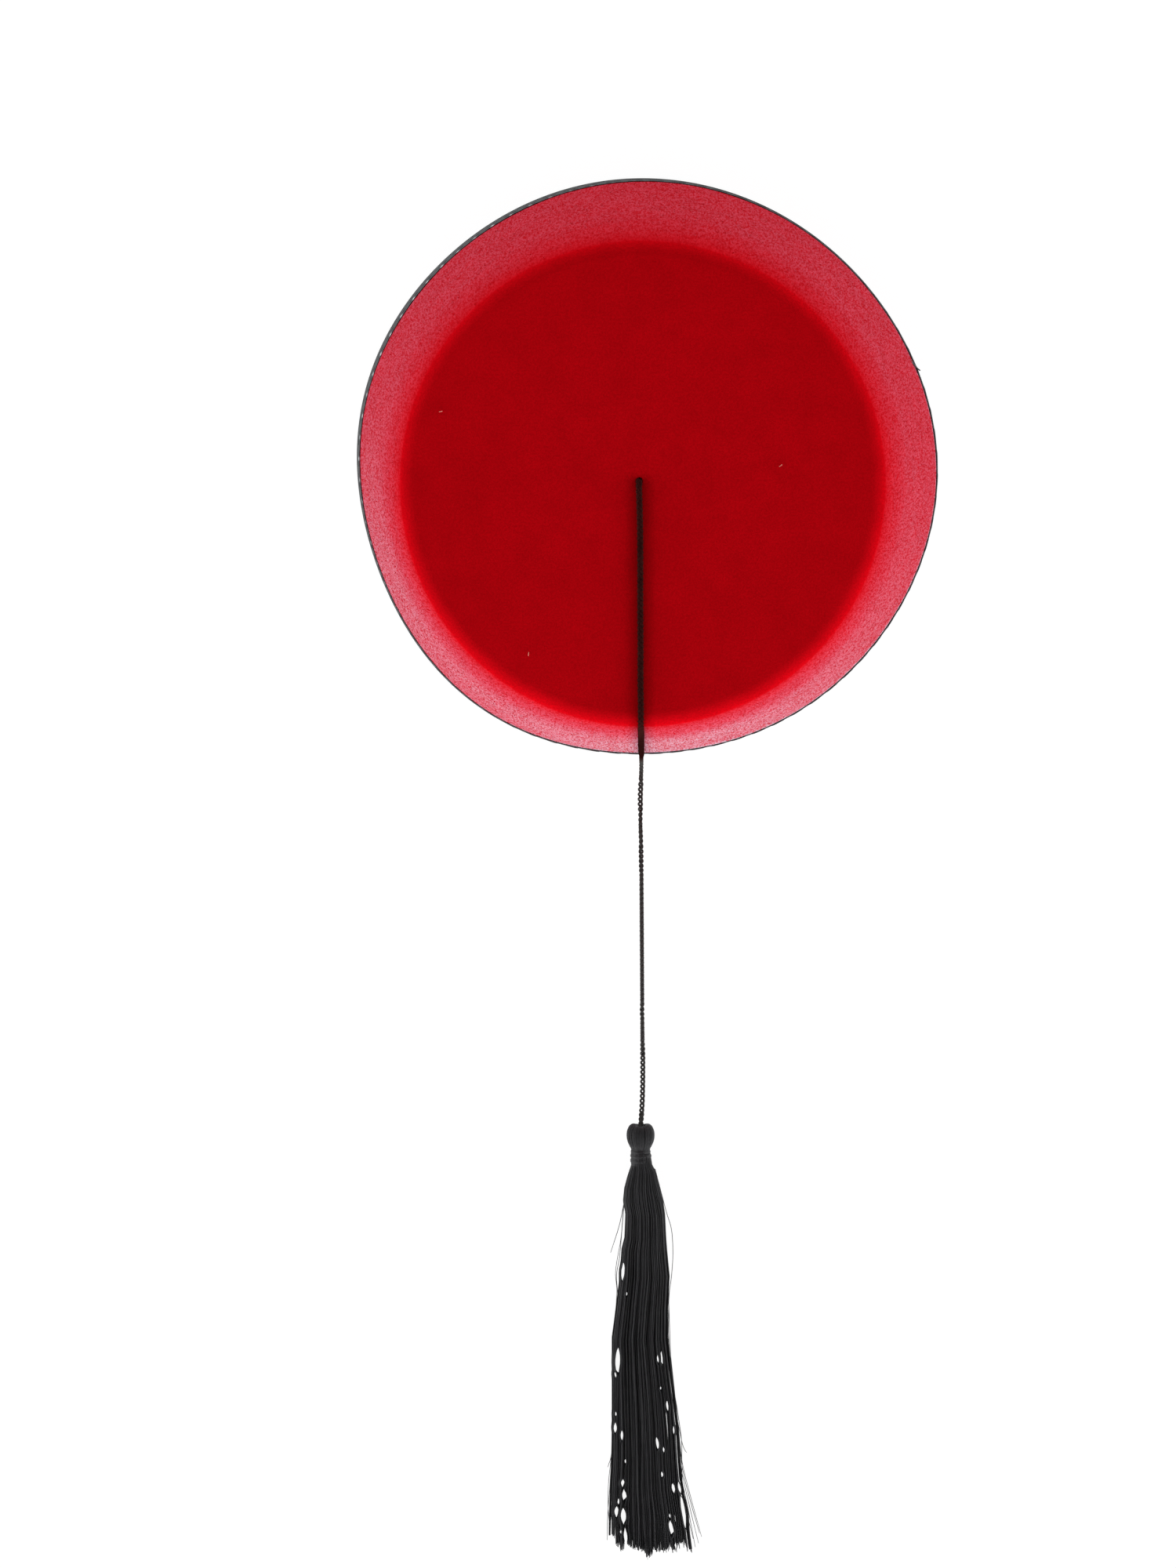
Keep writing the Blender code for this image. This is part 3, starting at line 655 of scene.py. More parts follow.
def stitch_tree():
    """A row of stitches along the ribbon, which dip into a needle hole at each end."""
    tree, given = new_tree("stitches", length="Float", thread="Float", dip="Float")
    reach = add(tree, "ShaderNodeMath", {0: given["length"], 1: 0.5}, operation="MULTIPLY")
    back = add(tree, "ShaderNodeMath", {0: reach, 1: -1.0}, operation="MULTIPLY")
    first = add(tree, "ShaderNodeCombineXYZ", {"X": back})
    last = add(tree, "ShaderNodeCombineXYZ", {"X": reach})
    line = add(tree, "GeometryNodeCurvePrimitiveLine", {"Start": first, "End": last})
    points = add(tree, "GeometryNodeResampleCurve", {0: line, "Count": 9})
    place = add(tree, "GeometryNodeSplineParameter").outputs["Factor"]
    centred = add(tree, "ShaderNodeMath", {0: place, 1: 2.0, 2: -1.0}, operation="MULTIPLY_ADD")
    size = add(tree, "ShaderNodeMath", {0: centred}, operation="ABSOLUTE")
    ends = add(tree, "ShaderNodeMath", {0: size, 1: 5.0}, operation="POWER")
    drop = add(tree, "ShaderNodeMath", {0: given["dip"], 1: -1.0}, operation="MULTIPLY")
    sunk = add(tree, "ShaderNodeMath", {0: ends, 1: drop}, operation="MULTIPLY")
    bent = add(tree, "GeometryNodeSetPosition",
               {0: points, "Offset": add(tree, "ShaderNodeCombineXYZ", {"Z": sunk})})
    stitch = add(tree, "GeometryNodeCurveToMesh",
                 {"Curve": measure_lines(tree, bent)[0],
                  "Profile Curve": round_profile(tree, given["thread"], 6), "Fill Caps": True})
    outward = add(tree, "GeometryNodeInputNamedAttribute", {"Name": "outward"},
                  data_type="FLOAT_VECTOR")
    onward = add(tree, "GeometryNodeInputNamedAttribute", {"Name": "onward"},
                 data_type="FLOAT_VECTOR")
    facing = add(tree, "FunctionNodeAxesToRotation",
                 {"Primary Axis": outward, "Secondary Axis": onward},
                 primary_axis="Z", secondary_axis="X")
    row = add(tree, "GeometryNodeInstanceOnPoints",
              {"Points": given["Geometry"], "Instance": stitch, "Rotation": facing})
    return close_tree(tree, row, given)


def nap_tree():
    """Short pointed tufts of fibre over the outside of the felt, and none on the pressed top.

    Each tuft has a "tone" from 0 to 1 for its colour.
    """
    tree, given = new_tree("felt_nap", tufts="Float", length="Float", width="Float",
                           lowest="Float", thins_from="Float", seed="Int")
    place = add(tree, "GeometryNodeInputPosition")
    normal = add(tree, "GeometryNodeInputNormal")
    outwards = add(tree, "ShaderNodeVectorMath", {0: place, 1: normal}, operation="DOT_PRODUCT")
    outside = add(tree, "FunctionNodeCompare", {0: outwards.outputs["Value"], 1: 0.02},
                  operation="GREATER_THAN")
    height = add(tree, "ShaderNodeSeparateXYZ", {0: place}).outputs["Z"]
    above = add(tree, "FunctionNodeCompare", {0: height, 1: given["lowest"]},
                operation="GREATER_THAN")
    both = add(tree, "FunctionNodeBooleanMath", {0: outside, 1: above}, operation="AND")
    share = add(tree, "ShaderNodeMapRange",
                {"Value": height, "From Min": given["thins_from"],
                 "From Max": HAT_HEIGHT - 0.003, "To Min": 1.0, "To Max": 0.0})
    density = add(tree, "ShaderNodeMath", {0: given["tufts"], 1: share}, operation="MULTIPLY")
    spots = add(tree, "GeometryNodeDistributePointsOnFaces",
                {"Mesh": given["Geometry"], "Selection": both, "Density": density,
                 "Seed": given["seed"]})
    root = add(tree, "ShaderNodeMath", {0: given["width"], 1: 0.5}, operation="MULTIPLY")
    tuft = add(tree, "GeometryNodeMeshCone",
               {"Vertices": 3, "Side Segments": 1, "Fill Segments": 1, "Radius Top": 0.0,
                "Radius Bottom": root, "Depth": given["length"]}, fill_type="NGON")
    lean = add(tree, "FunctionNodeRandomValue",
               {"Min": (radians(48), 0.0, 0.0), "Max": (radians(86), 0.0, tau),
                "Seed": given["seed"]}, data_type="FLOAT_VECTOR")
    size = add(tree, "FunctionNodeRandomValue", {"Min": 0.45, "Max": 1.25, "Seed": 3})
    spin = add(tree, "FunctionNodeRandomValue", {"Min": 0.0, "Max": tau, "Seed": 5})
    spun = add(tree, "FunctionNodeRotateRotation",
               {"Rotation": spots.outputs["Rotation"],
                "Rotate By": add(tree, "ShaderNodeCombineXYZ", {"Z": spin})},
               rotation_space="LOCAL")
    lying = add(tree, "FunctionNodeRotateRotation", {"Rotation": spun, "Rotate By": lean},
                rotation_space="LOCAL")
    nap = add(tree, "GeometryNodeInstanceOnPoints",
              {"Points": spots.outputs["Points"], "Instance": tuft, "Rotation": lying,
               "Scale": size})
    tone = add(tree, "FunctionNodeRandomValue", {"Min": 0.0, "Max": 1.0, "Seed": 9})
    toned = add(tree, "GeometryNodeStoreNamedAttribute",
                {0: nap, "Name": "tone", "Value": tone}, data_type="FLOAT", domain="INSTANCE")
    return close_tree(tree, toned, given)


# ---------------------------------------------------------------- finishes
def new_finish(name, colour, roughness, **shader_inputs):
    """A new material, its node tree, and its shader with the settings that are even all over."""
    finish = bpy.data.materials.new(name)
    finish.use_nodes = True
    tree = finish.node_tree
    shader = tree.nodes["Principled BSDF"]
    shader.inputs["Base Color"].default_value = (*colour, 1.0)
    shader.inputs["Roughness"].default_value = roughness
    for key, value in shader_inputs.items():
        shader.inputs[key.replace("_", " ").title().replace("Ior", "IOR")].default_value = value
    return finish, tree, shader


def moulded_felt(felt):
    """Needle-punched polyester felt, steamed and pressed over a block.

    The pressing leaves slow soft patches, and the punched web gives a grain. The grain is drawn
    two thirds of a millimetre wide, coarser than the real fibres, so that it shows. Loose fibres
    stand off the surface, so the felt is matt from above. Where it is seen along its surface, its
    colour is mixed towards pale speckled flecks, a painted sheen. A strip each side of the cord on
    the top is drawn darker, a painted shadow of the cord.
    """
    finish, tree, shader = new_finish(
        "needle_punched_felt", felt.colour, 0.95, specular_ior_level=0.0, sheen_weight=0.35,
        sheen_roughness=0.11, sheen_tint=(1.0, 0.62, 0.95, 1.0))
    place = add(tree, "ShaderNodeTexCoord").outputs["Object"]
    patches = add(tree, "ShaderNodeTexNoise", {"Vector": place, "Scale": 115.0, "Detail": 2.0})
    patch_share = add(tree, "ShaderNodeMapRange",
                      {"Value": patches.outputs["Fac"], "From Min": 0.3, "From Max": 0.7,
                       "To Min": 0.95, "To Max": 1.05})
    # The fibres are seen end over end along the wall, so their speckle is drawn out up the hat.
    drawn_out = add(tree, "ShaderNodeVectorMath", {0: place, 1: (1.0, 1.0, 0.08)},
                    operation="MULTIPLY")
    web = add(tree, "ShaderNodeTexNoise",
              {"Vector": drawn_out, "Scale": 1500.0, "Detail": 2.0, "Roughness": 0.9})
    grain, veiled, speckled = (
        add(tree, "ShaderNodeMapRange",
            {"Value": web.outputs["Fac"], "From Min": 0.41, "From Max": 0.59,
             "To Min": low, "To Max": high})
        for low, high in ((0.9, 1.1), (0.2, 1.8), (0.0, 2.0)))
    # Painted shadow: the felt is drawn darker in a strip each side of the cord on the top, where
    # the cord lying on it shades it.
    parts = add(tree, "ShaderNodeSeparateXYZ", {0: place}).outputs
    aside = add(tree, "ShaderNodeMath", {0: parts["X"], 1: -CORD_LINE}, operation="ADD")
    apart = add(tree, "ShaderNodeMath", {0: aside}, operation="ABSOLUTE")
    shade_beside_cord = add(tree, "ShaderNodeMapRange",
                 {"Value": apart, "From Min": 0.0007, "From Max": CORD_SHADOW_HALF_WIDTH,
                  "To Min": 0.36, "To Max": 0.0})
    before_hole = add(tree, "ShaderNodeMapRange",
                      {"Value": parts["Y"], "From Min": CORD_HOLE.y - 0.001,
                       "From Max": CORD_HOLE.y + 0.003, "To Min": 1.0, "To Max": 0.0})
    # The chart's first half is the outside of the felt.
    chart = add(tree, "ShaderNodeSeparateXYZ", {0: add(tree, "ShaderNodeUVMap", uv_map="UVMap")})
    outside = add(tree, "ShaderNodeMath", {0: chart.outputs["Y"], 1: 0.5}, operation="LESS_THAN")
    # The painted shadow of the cord, only on the outside of the felt.
    shadow_along_cord = add(tree, "ShaderNodeMath", {0: shade_beside_cord, 1: before_hole}, operation="MULTIPLY")
    cord_shadow = add(tree, "ShaderNodeMath", {0: shadow_along_cord, 1: outside}, operation="MULTIPLY")
    unshadowed = add(tree, "ShaderNodeMath", {0: 1.0, 1: cord_shadow}, operation="SUBTRACT")
    even = add(tree, "ShaderNodeMath", {0: patch_share, 1: grain}, operation="MULTIPLY")
    tone = add(tree, "ShaderNodeMath", {0: even, 1: unshadowed}, operation="MULTIPLY")
    toned = add(tree, "ShaderNodeVectorMath", {0: tuple(felt.colour), "Scale": tone},
                operation="SCALE")
    # Painted sheen: the more nearly the felt is seen along its surface, the more its colour is
    # mixed towards the pale haze and then the pale flecks. The block has pressed the nap flat at
    # the top of the wall, so less sheen is painted there.
    raised = add(tree, "ShaderNodeMapRange",
                 {"Value": parts["Z"], "From Min": 0.05, "From Max": 0.113,
                  "To Min": 1.0, "To Max": 0.22})
    ends = add(tree, "ShaderNodeMath", {0: speckled, 1: raised}, operation="MULTIPLY")
    pressed = add(tree, "ShaderNodeMapRange",
                  {"Value": parts["Z"], "From Min": 0.1, "From Max": 0.116,
                   "To Min": 1.0, "To Max": 0.25})
    lying = add(tree, "ShaderNodeMath", {0: veiled, 1: pressed}, operation="MULTIPLY")
    facing = add(tree, "ShaderNodeLayerWeight", {"Blend": 0.5}).outputs["Facing"]
    with_painted_sheen = toned
    for power, fibres, density, colour in ((8.0, lying, 0.27, felt.sheen_haze_colour),
                                           (40.0, ends, 2.9, felt.sheen_fleck_colour)):
        grazing = add(tree, "ShaderNodeMath", {0: facing, 1: power}, operation="POWER")
        amount = add(tree, "ShaderNodeMath", {0: fibres, 1: density}, operation="MULTIPLY")
        share = add(tree, "ShaderNodeMath", {0: grazing, 1: amount}, operation="MULTIPLY",
                    use_clamp=True)
        mixed = add(tree, "ShaderNodeMix", {"Factor": share, "A": with_painted_sheen, "B": (*colour, 1.0)},
                    data_type="RGBA")
        with_painted_sheen = socket_of(mixed.outputs, 0)
    tree.links.new(with_painted_sheen, shader.inputs["Base Color"])
    coarse = add(tree, "ShaderNodeTexNoise", {"Vector": place, "Scale": 420.0, "Detail": 2.0})
    relief = add(tree, "ShaderNodeMath",
                 {0: coarse.outputs["Fac"], 1: 0.8, 2: web.outputs["Fac"]},
                 operation="MULTIPLY_ADD")
    bump = add(tree, "ShaderNodeBump", {"Strength": 0.3, "Distance": 0.00025, "Height": relief})
    tree.links.new(bump.outputs[0], shader.inputs["Normal"])
    return finish


def felt_fibre(felt):
    """Polyester fibres worked loose from the felt. On the wall some are drawn pale, a painted
    highlight of fibre ends catching the light.

    They catch more light than the felt that they stand on, so their red is drawn up to 1.7 times
    brighter, a painted highlight.
    """
    finish, tree, shader = new_finish("loose_felt_fibre", felt.colour, 0.9,
                                      specular_ior_level=0.0)
    place = add(tree, "ShaderNodeTexCoord").outputs["Object"]
    tone = add(tree, "ShaderNodeAttribute", attribute_name="tone").outputs["Fac"]
    fleck_highlight = add(tree, "ShaderNodeMapRange",
                {"Value": tone, "From Min": 0.3, "From Max": 1.0, "To Min": 0.0, "To Max": 0.2})
    height = add(tree, "ShaderNodeSeparateXYZ", {0: place}).outputs["Z"]
    on_wall = add(tree, "ShaderNodeMapRange",
                  {"Value": height, "From Min": 0.07, "From Max": 0.1165,
                   "To Min": 1.0, "To Max": 0.0})
    pale = add(tree, "ShaderNodeMath", {0: fleck_highlight, 1: on_wall}, operation="MULTIPLY")
    # Painted highlight: the fibres' red is scaled up from 1.0 to 1.7 times.
    depth = add(tree, "ShaderNodeMapRange",
                {"Value": tone, "From Min": 0.0, "From Max": 1.0, "To Min": 1.0, "To Max": 1.7})
    brightened_red = add(tree, "ShaderNodeVectorMath", {0: tuple(felt.colour), "Scale": depth},
               operation="SCALE")
    mixed = add(tree, "ShaderNodeMix",
                {"Factor": pale, "A": brightened_red, "B": (*felt.sheen_fleck_colour, 1.0)}, data_type="RGBA")
    tree.links.new(socket_of(mixed.outputs, 0), shader.inputs["Base Color"])
    return finish


def pale_fibre():
    """Undyed polyester lint from another cloth."""
    return new_finish("undyed_polyester_lint", linear("D98272"), 0.8, specular_ior_level=0.2)[0]


def stitch_count(ribbon):
    """Whole stitches round the rim."""
    return round(tau * FOOT_RADIUS / ribbon.stitch_spacing)


def woven_ribbon(ribbon):
    """Woven polyester ribbon, ironed into a fold: fine ribs across it and a dull satin gloss."""
    finish, tree, shader = new_finish("woven_polyester_ribbon", ribbon.colour, 0.7,
                                      specular_ior_level=0.06)
    chart = add(tree, "ShaderNodeUVMap", uv_map="UVMap")
    round_hat = add(tree, "ShaderNodeSeparateXYZ", {0: chart}).outputs["X"]
    # Ribs of 0.6 mm, about twice as wide as the real ones, so that they show.
    ribs = add(tree, "ShaderNodeMath", {0: round_hat, 1: tau * round(tau * FOOT_RADIUS / 0.0006)},
               operation="MULTIPLY")
    rib = add(tree, "ShaderNodeMath", {0: ribs}, operation="SINE")
    place = add(tree, "ShaderNodeTexCoord").outputs["Object"]
    wear = add(tree, "ShaderNodeTexNoise", {"Vector": place, "Scale": 260.0, "Detail": 3.0})
    rough = add(tree, "ShaderNodeMapRange",
                {"Value": wear.outputs["Fac"], "From Min": 0.3, "From Max": 0.7,
                 "To Min": 0.6, "To Max": 0.8})
    tree.links.new(rough.outputs[0], shader.inputs["Roughness"])
    tone = add(tree, "ShaderNodeMapRange",
               {"Value": wear.outputs["Fac"], "From Min": 0.3, "From Max": 0.7,
                "To Min": 0.75, "To Max": 1.3})
    # Painted highlight: the upper part is drawn paler, most of all in spots where it is pulled up
    # between two stitches.
    crests = add(tree, "ShaderNodeMath", {0: round_hat, 1: tau * stitch_count(ribbon), 2: pi},
                 operation="MULTIPLY_ADD")
    crest = add(tree, "ShaderNodeMath", {0: crests}, operation="COSINE")
    upper = add(tree, "ShaderNodeMath", {0: crest, 1: 0.0}, operation="MAXIMUM")
    narrow = add(tree, "ShaderNodeMath", {0: upper, 1: 6.0}, operation="POWER")
    height = add(tree, "ShaderNodeSeparateXYZ", {0: place}).outputs["Z"]
    spot_strength = add(tree, "ShaderNodeMapRange",
                 {"Value": height, "From Min": 0.0058, "From Max": 0.0085,
                  "To Min": 0.0, "To Max": 26.0})
    uneven = add(tree, "ShaderNodeMath", {0: spot_strength, 1: wear.outputs["Fac"]},
                 operation="MULTIPLY")
    paler = add(tree, "ShaderNodeMath", {0: narrow, 1: uneven, 2: 1.2}, operation="MULTIPLY_ADD")
    highlight_band = add(tree, "ShaderNodeMapRange",
               {"Value": height, "From Min": 0.0011, "From Max": 0.0028})
    # Random tone, plus the painted highlight on the upper part.
    tone_and_highlight = add(tree, "ShaderNodeMath", {0: highlight_band, 1: paler, 2: tone}, operation="MULTIPLY_ADD")
    toned = add(tree, "ShaderNodeVectorMath", {0: tuple(ribbon.colour), "Scale": tone_and_highlight},
                operation="SCALE")
    tree.links.new(toned.outputs[0], shader.inputs["Base Color"])
    bump = add(tree, "ShaderNodeBump", {"Strength": 0.35, "Distance": 0.00005, "Height": rib})
    tree.links.new(bump.outputs[0], shader.inputs["Normal"])
    return finish


def spun_yarn(name, colour, roughness, twist_length, tone_range, grooves=0.5, upper_colour=None,
              **shader_inputs):
    """Spun yarn: two plies twisted together, so slanting grooves run round every strand.

    The upper colour is that of the yarn above the floor, where it lies on the felt.
    """
    finish, tree, shader = new_finish(name, colour, roughness, **shader_inputs)
    turn = add(tree, "ShaderNodeSeparateXYZ",
               {0: add(tree, "ShaderNodeAttribute", attribute_name="turn").outputs["Vector"]})
    around = add(tree, "ShaderNodeMath", {0: turn.outputs["Y"], 1: turn.outputs["X"]},
                 operation="ARCTAN2")
    along = add(tree, "ShaderNodeAttribute", attribute_name="along").outputs["Fac"]
    twist = add(tree, "ShaderNodeMath", {0: along, 1: tau / twist_length, 2: around},
                operation="MULTIPLY_ADD")
    plies = add(tree, "ShaderNodeMath", {0: twist, 1: 2.0}, operation="MULTIPLY")
    groove = add(tree, "ShaderNodeMath", {0: plies}, operation="SINE")
    bump = add(tree, "ShaderNodeBump",
               {"Strength": grooves, "Distance": 0.00006, "Height": groove})
    tree.links.new(bump.outputs[0], shader.inputs["Normal"])
    tone = add(tree, "ShaderNodeAttribute", attribute_name="tone").outputs["Fac"]
    place = add(tree, "ShaderNodeTexCoord").outputs["Object"]
    patches = add(tree, "ShaderNodeTexNoise", {"Vector": place, "Scale": 300.0, "Detail": 2.0})
    both = add(tree, "ShaderNodeMath", {0: patches.outputs["Fac"], 1: tone}, operation="ADD")
    share = add(tree, "ShaderNodeMapRange",
                {"Value": both, "From Min": 0.4, "From Max": 1.4,
                 "To Min": tone_range[0], "To Max": tone_range[1]})
    dye = tuple(colour)
    if upper_colour:
        height = add(tree, "ShaderNodeSeparateXYZ", {0: place}).outputs["Z"]
        raised = add(tree, "ShaderNodeMapRange",
                     {"Value": height, "From Min": 0.006, "From Max": 0.012})
        mixed = add(tree, "ShaderNodeMix",
                    {"Factor": raised, "A": (*colour, 1.0), "B": (*upper_colour, 1.0)},
                    data_type="RGBA")
        dye = socket_of(mixed.outputs, 0)
    toned = add(tree, "ShaderNodeVectorMath", {0: dye, "Scale": share}, operation="SCALE")
    tree.links.new(toned.outputs[0], shader.inputs["Base Color"])
    return finish


def rayon_thread(tassel):
    """Filament rayon, hardly twisted: it is smooth, with a low satin gloss along its length."""
    found = bpy.data.materials.get("filament_rayon_thread")
    return found or spun_yarn("filament_rayon_thread", tassel.colour, 0.48, 0.0016, (0.6, 1.7),
                              grooves=0.12, specular_ior_level=0.25)


def pale_table():
    """Sheet of white acrylic, lit from below so that hardly a shadow falls on it."""
    glow = bpy.context.scene.fez_stage.table_glow
    return new_finish(
        "opal_acrylic_sheet", linear("6A6A6A"), 0.6, specular_ior_level=0.2,
        emission_color=(1.0, 1.0, 1.0, 1.0), emission_strength=glow)[0]


# ---------------------------------------------------------------- shapes worked out by rule
def arc_points(centre, radius, start, end, steps):
    """Points on an arc in the (radius, height) plane, both ends included."""
    angles = [start + (end - start) * i / steps for i in range(steps + 1)]
    return [centre + radius * Vector((cos(a), sin(a))) for a in angles]


def wall_at(height):
    """The point of the felt's outer face at a height, as (radius, height)."""
    return Vector((FOOT_RADIUS, 0.0)) + WALL_UP * (height / WALL_UP.y)


def rim_wave(angle, height):
    """How far the wall stands out of round at this angle and height."""
    wave = sum(size * cos(waves * angle - radians(crest)) for waves, size, crest in RIM_WAVES)
    return wave * MM * max(0.0, 1.0 - height / HAT_HEIGHT)


def upper_crossing(middle_a, radius_a, middle_b, radius_b):
    """Where two circles cross, taking the crossing that lies to the left of the way from a to b."""
    apart = middle_b - middle_a
    along = (apart.length_squared + radius_a ** 2 - radius_b ** 2) / (2 * apart.length)
    aside = sqrt(radius_a ** 2 - along ** 2)
    way = apart.normalized()
    return middle_a + along * way + aside * Vector((-way.y, way.x))


def angle_from(middle, point):
    """The direction from one point to another, in the (radius, height) plane."""
    away = point - middle
    return atan2(away.y, away.x)


def crown_path(inset, raw_edge):
    """The felt's face, a distance in from its outside, from the cord's hole to the raw edge.

    Three arcs and the straight wall, each touching the next: the dome, the edge and the shoulder.
    """
    dome = Vector((0.0, HAT_HEIGHT - DOME_RADIUS))
    shoulder = wall_at(SHOULDER_HEIGHT) - SHOULDER_RADIUS * WALL_OUT
    edge = upper_crossing(shoulder, SHOULDER_RADIUS - EDGE_ROUND, dome, DOME_RADIUS - EDGE_ROUND)
    top_angle = angle_from(dome, edge)
    shoulder_angle = angle_from(shoulder, edge)
    hole_angle = pi / 2 - asin(CORD_HOLE_RADIUS / DOME_RADIUS)
    points = arc_points(dome, DOME_RADIUS - inset, hole_angle, top_angle, 18)
    points += arc_points(edge, EDGE_ROUND - inset, top_angle, shoulder_angle, 14)[1:]
    points += arc_points(shoulder, SHOULDER_RADIUS - inset, shoulder_angle, WALL_LEAN, 10)[1:]
    bottom = raw_edge - inset * WALL_OUT
    points += [points[-1].lerp(bottom, i / 18) for i in range(1, 19)]
    return points


def ease_corners(points, reach, steps=3):
    """A closed outline with each sharp corner replaced by a short curve."""
    eased = []
    for before, corner, after in zip(points[-1:] + points[:-1], points, points[1:] + points[:1]):
        back, on = before - corner, after - corner
        if back.angle(-on) < radians(40):
            eased.append(corner)
            continue
        start = corner + back.normalized() * min(reach, 0.45 * back.length)
        end = corner + on.normalized() * min(reach, 0.45 * on.length)
        for i in range(steps + 1):
            t = i / steps
            eased.append(start.lerp(corner, t).lerp(corner.lerp(end, t), t))
    return eased


def outline_mesh(name, points, **shares):
    """An outline in the (radius, height) plane, stood up beside the hat's axis to be turned."""
    flat = [Vector((p.x, 0.0, p.y)) for p in points]
    return mesh_of_lines(name, [flat], **shares)


def curve_point(a, b, c, d, t):
    """The point a share t of the way from b to c on the Catmull-Rom curve through a, b, c and d."""
    return 0.5 * (2 * b + (c - a) * t + (2 * a - 5 * b + 4 * c - d) * t ** 2
                  + (3 * b - a - 3 * c + d) * t ** 3)


def smooth_line(points, step):
    """Points about a step apart on a Catmull-Rom curve through a line's own points."""
    ends = [2 * points[0] - points[1], *points, 2 * points[-1] - points[-2]]
    fine = []
    for four in zip(ends, ends[1:], ends[2:], ends[3:]):
        fine += [curve_point(*four, i / 20) for i in range(20)]
    fine.append(points[-1])
    run = np.concatenate([[0.0], np.cumsum([(b - a).length for a, b in zip(fine, fine[1:])])])
    count = max(2, round(run[-1] / step))
    wanted = np.linspace(0.0, run[-1], count + 1)
    columns = [np.interp(wanted, run, [p[k] for p in fine]) for k in range(len(points[0]))]
    return [Vector(p) for p in zip(*columns)]


def read_table(rows, place):
    """The columns of a table after its first, read at a place between its rows."""
    first = [row[0] for row in rows]
    return [float(np.interp(place, first, [row[k] for row in rows]))
            for k in range(1, len(rows[0]))]


def sides_along(points, first_side, turns=((0, 0, 0.0),)):
    """A direction across each point of a line, carried along without twist, then turned over.

    Returns those directions and each point's looseness.
    """
    side, run, found, loose = Vector(first_side), 0.0, [], []
    for i, point in enumerate(points):
        before, after = points[max(i - 1, 0)], points[min(i + 1, len(points) - 1)]
        tangent = (after - before).normalized()
        side = (side - side.dot(tangent) * tangent).normalized()
        if i:
            run += (point - points[i - 1]).length
        turn, looseness = read_table(turns, run / MM)
        found.append(Matrix.Rotation(radians(turn), 3, tangent) @ side)
        loose.append(looseness)
    return found, loose


# ---------------------------------------------------------------- the felt and its rim
class FEZ_OT_felt_crown(bpy.types.Operator):
    """Makes the moulded felt body: flat round top, rounded edge and tapering wall"""
    bl_idname = "fez.felt_crown"
    bl_label = "Felt crown"

    def execute(self, context):
        felt = context.scene.fez_felt
        ribbon = context.scene.fez_ribbon
        raw_edge = wall_at(ribbon.thickness + EDGE_CLEAR + felt.thickness * WALL_OUT.y)
        outside = crown_path(0.0, raw_edge)
        inside = crown_path(felt.thickness, raw_edge)
        outline = ease_corners(outside + inside[::-1], 0.0005)
        crown = grow("felt_crown", turned_tree(), outline_mesh("felt_outline", outline),
                     steps=288, height=HAT_HEIGHT, foot_radius=FOOT_RADIUS,
                     flat_radius=CROWN_RADIUS - EDGE_ROUND, hole=(*CORD_HOLE, 0.0),
                     unevenness=felt.unevenness, finish=moulded_felt(felt))
        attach(crown, BODY)
        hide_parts("crown_shell")
        return {"FINISHED"}


class FEZ_OT_felt_nap(bpy.types.Operator):
    """Makes the loose fibres on the felt, and the pale lint caught in them"""
    bl_idname = "fez.felt_nap"
    bl_label = "Nap and lint"

    def execute(self, context):
        felt = context.scene.fez_felt
        crown = bpy.data.objects.get("felt_crown")
        if crown is None:
            raise RuntimeError("make the felt crown before its nap")
        nap = grow("felt_nap", nap_tree(), crown.data.copy(), tufts=felt.nap_tufts * 1e4,
                   length=felt.nap_length, width=felt.nap_width, lowest=0.0085,
                   thins_from=0.104, seed=11, finish=felt_fibre(felt))
        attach(nap, BODY)
        lines = []
        for x, y, turn in LINT:
            height = HAT_HEIGHT - (x * x + y * y) * MM ** 2 / (2 * DOME_RADIUS) + 0.0001
            middle = Vector((x * MM, y * MM, height))
            way = Vector((cos(radians(turn)), sin(radians(turn)), 0.0))
            lines.append([middle + way * share * LINT_LENGTH
                          + Vector((0.0, 0.0, 0.0002 * sin(pi * (share + 0.5))))
                          for share in (-0.5, -0.25, 0.0, 0.25, 0.5)])
        girth = [1.0] * sum(map(len, lines))
        lint = grow("lint", strand_tree(), mesh_of_lines("lint_lines", lines, girth=girth),
                    thickness=LINT_THICKNESS, sides=6, finish=pale_fibre())
        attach(lint, BODY)
        return {"FINISHED"}


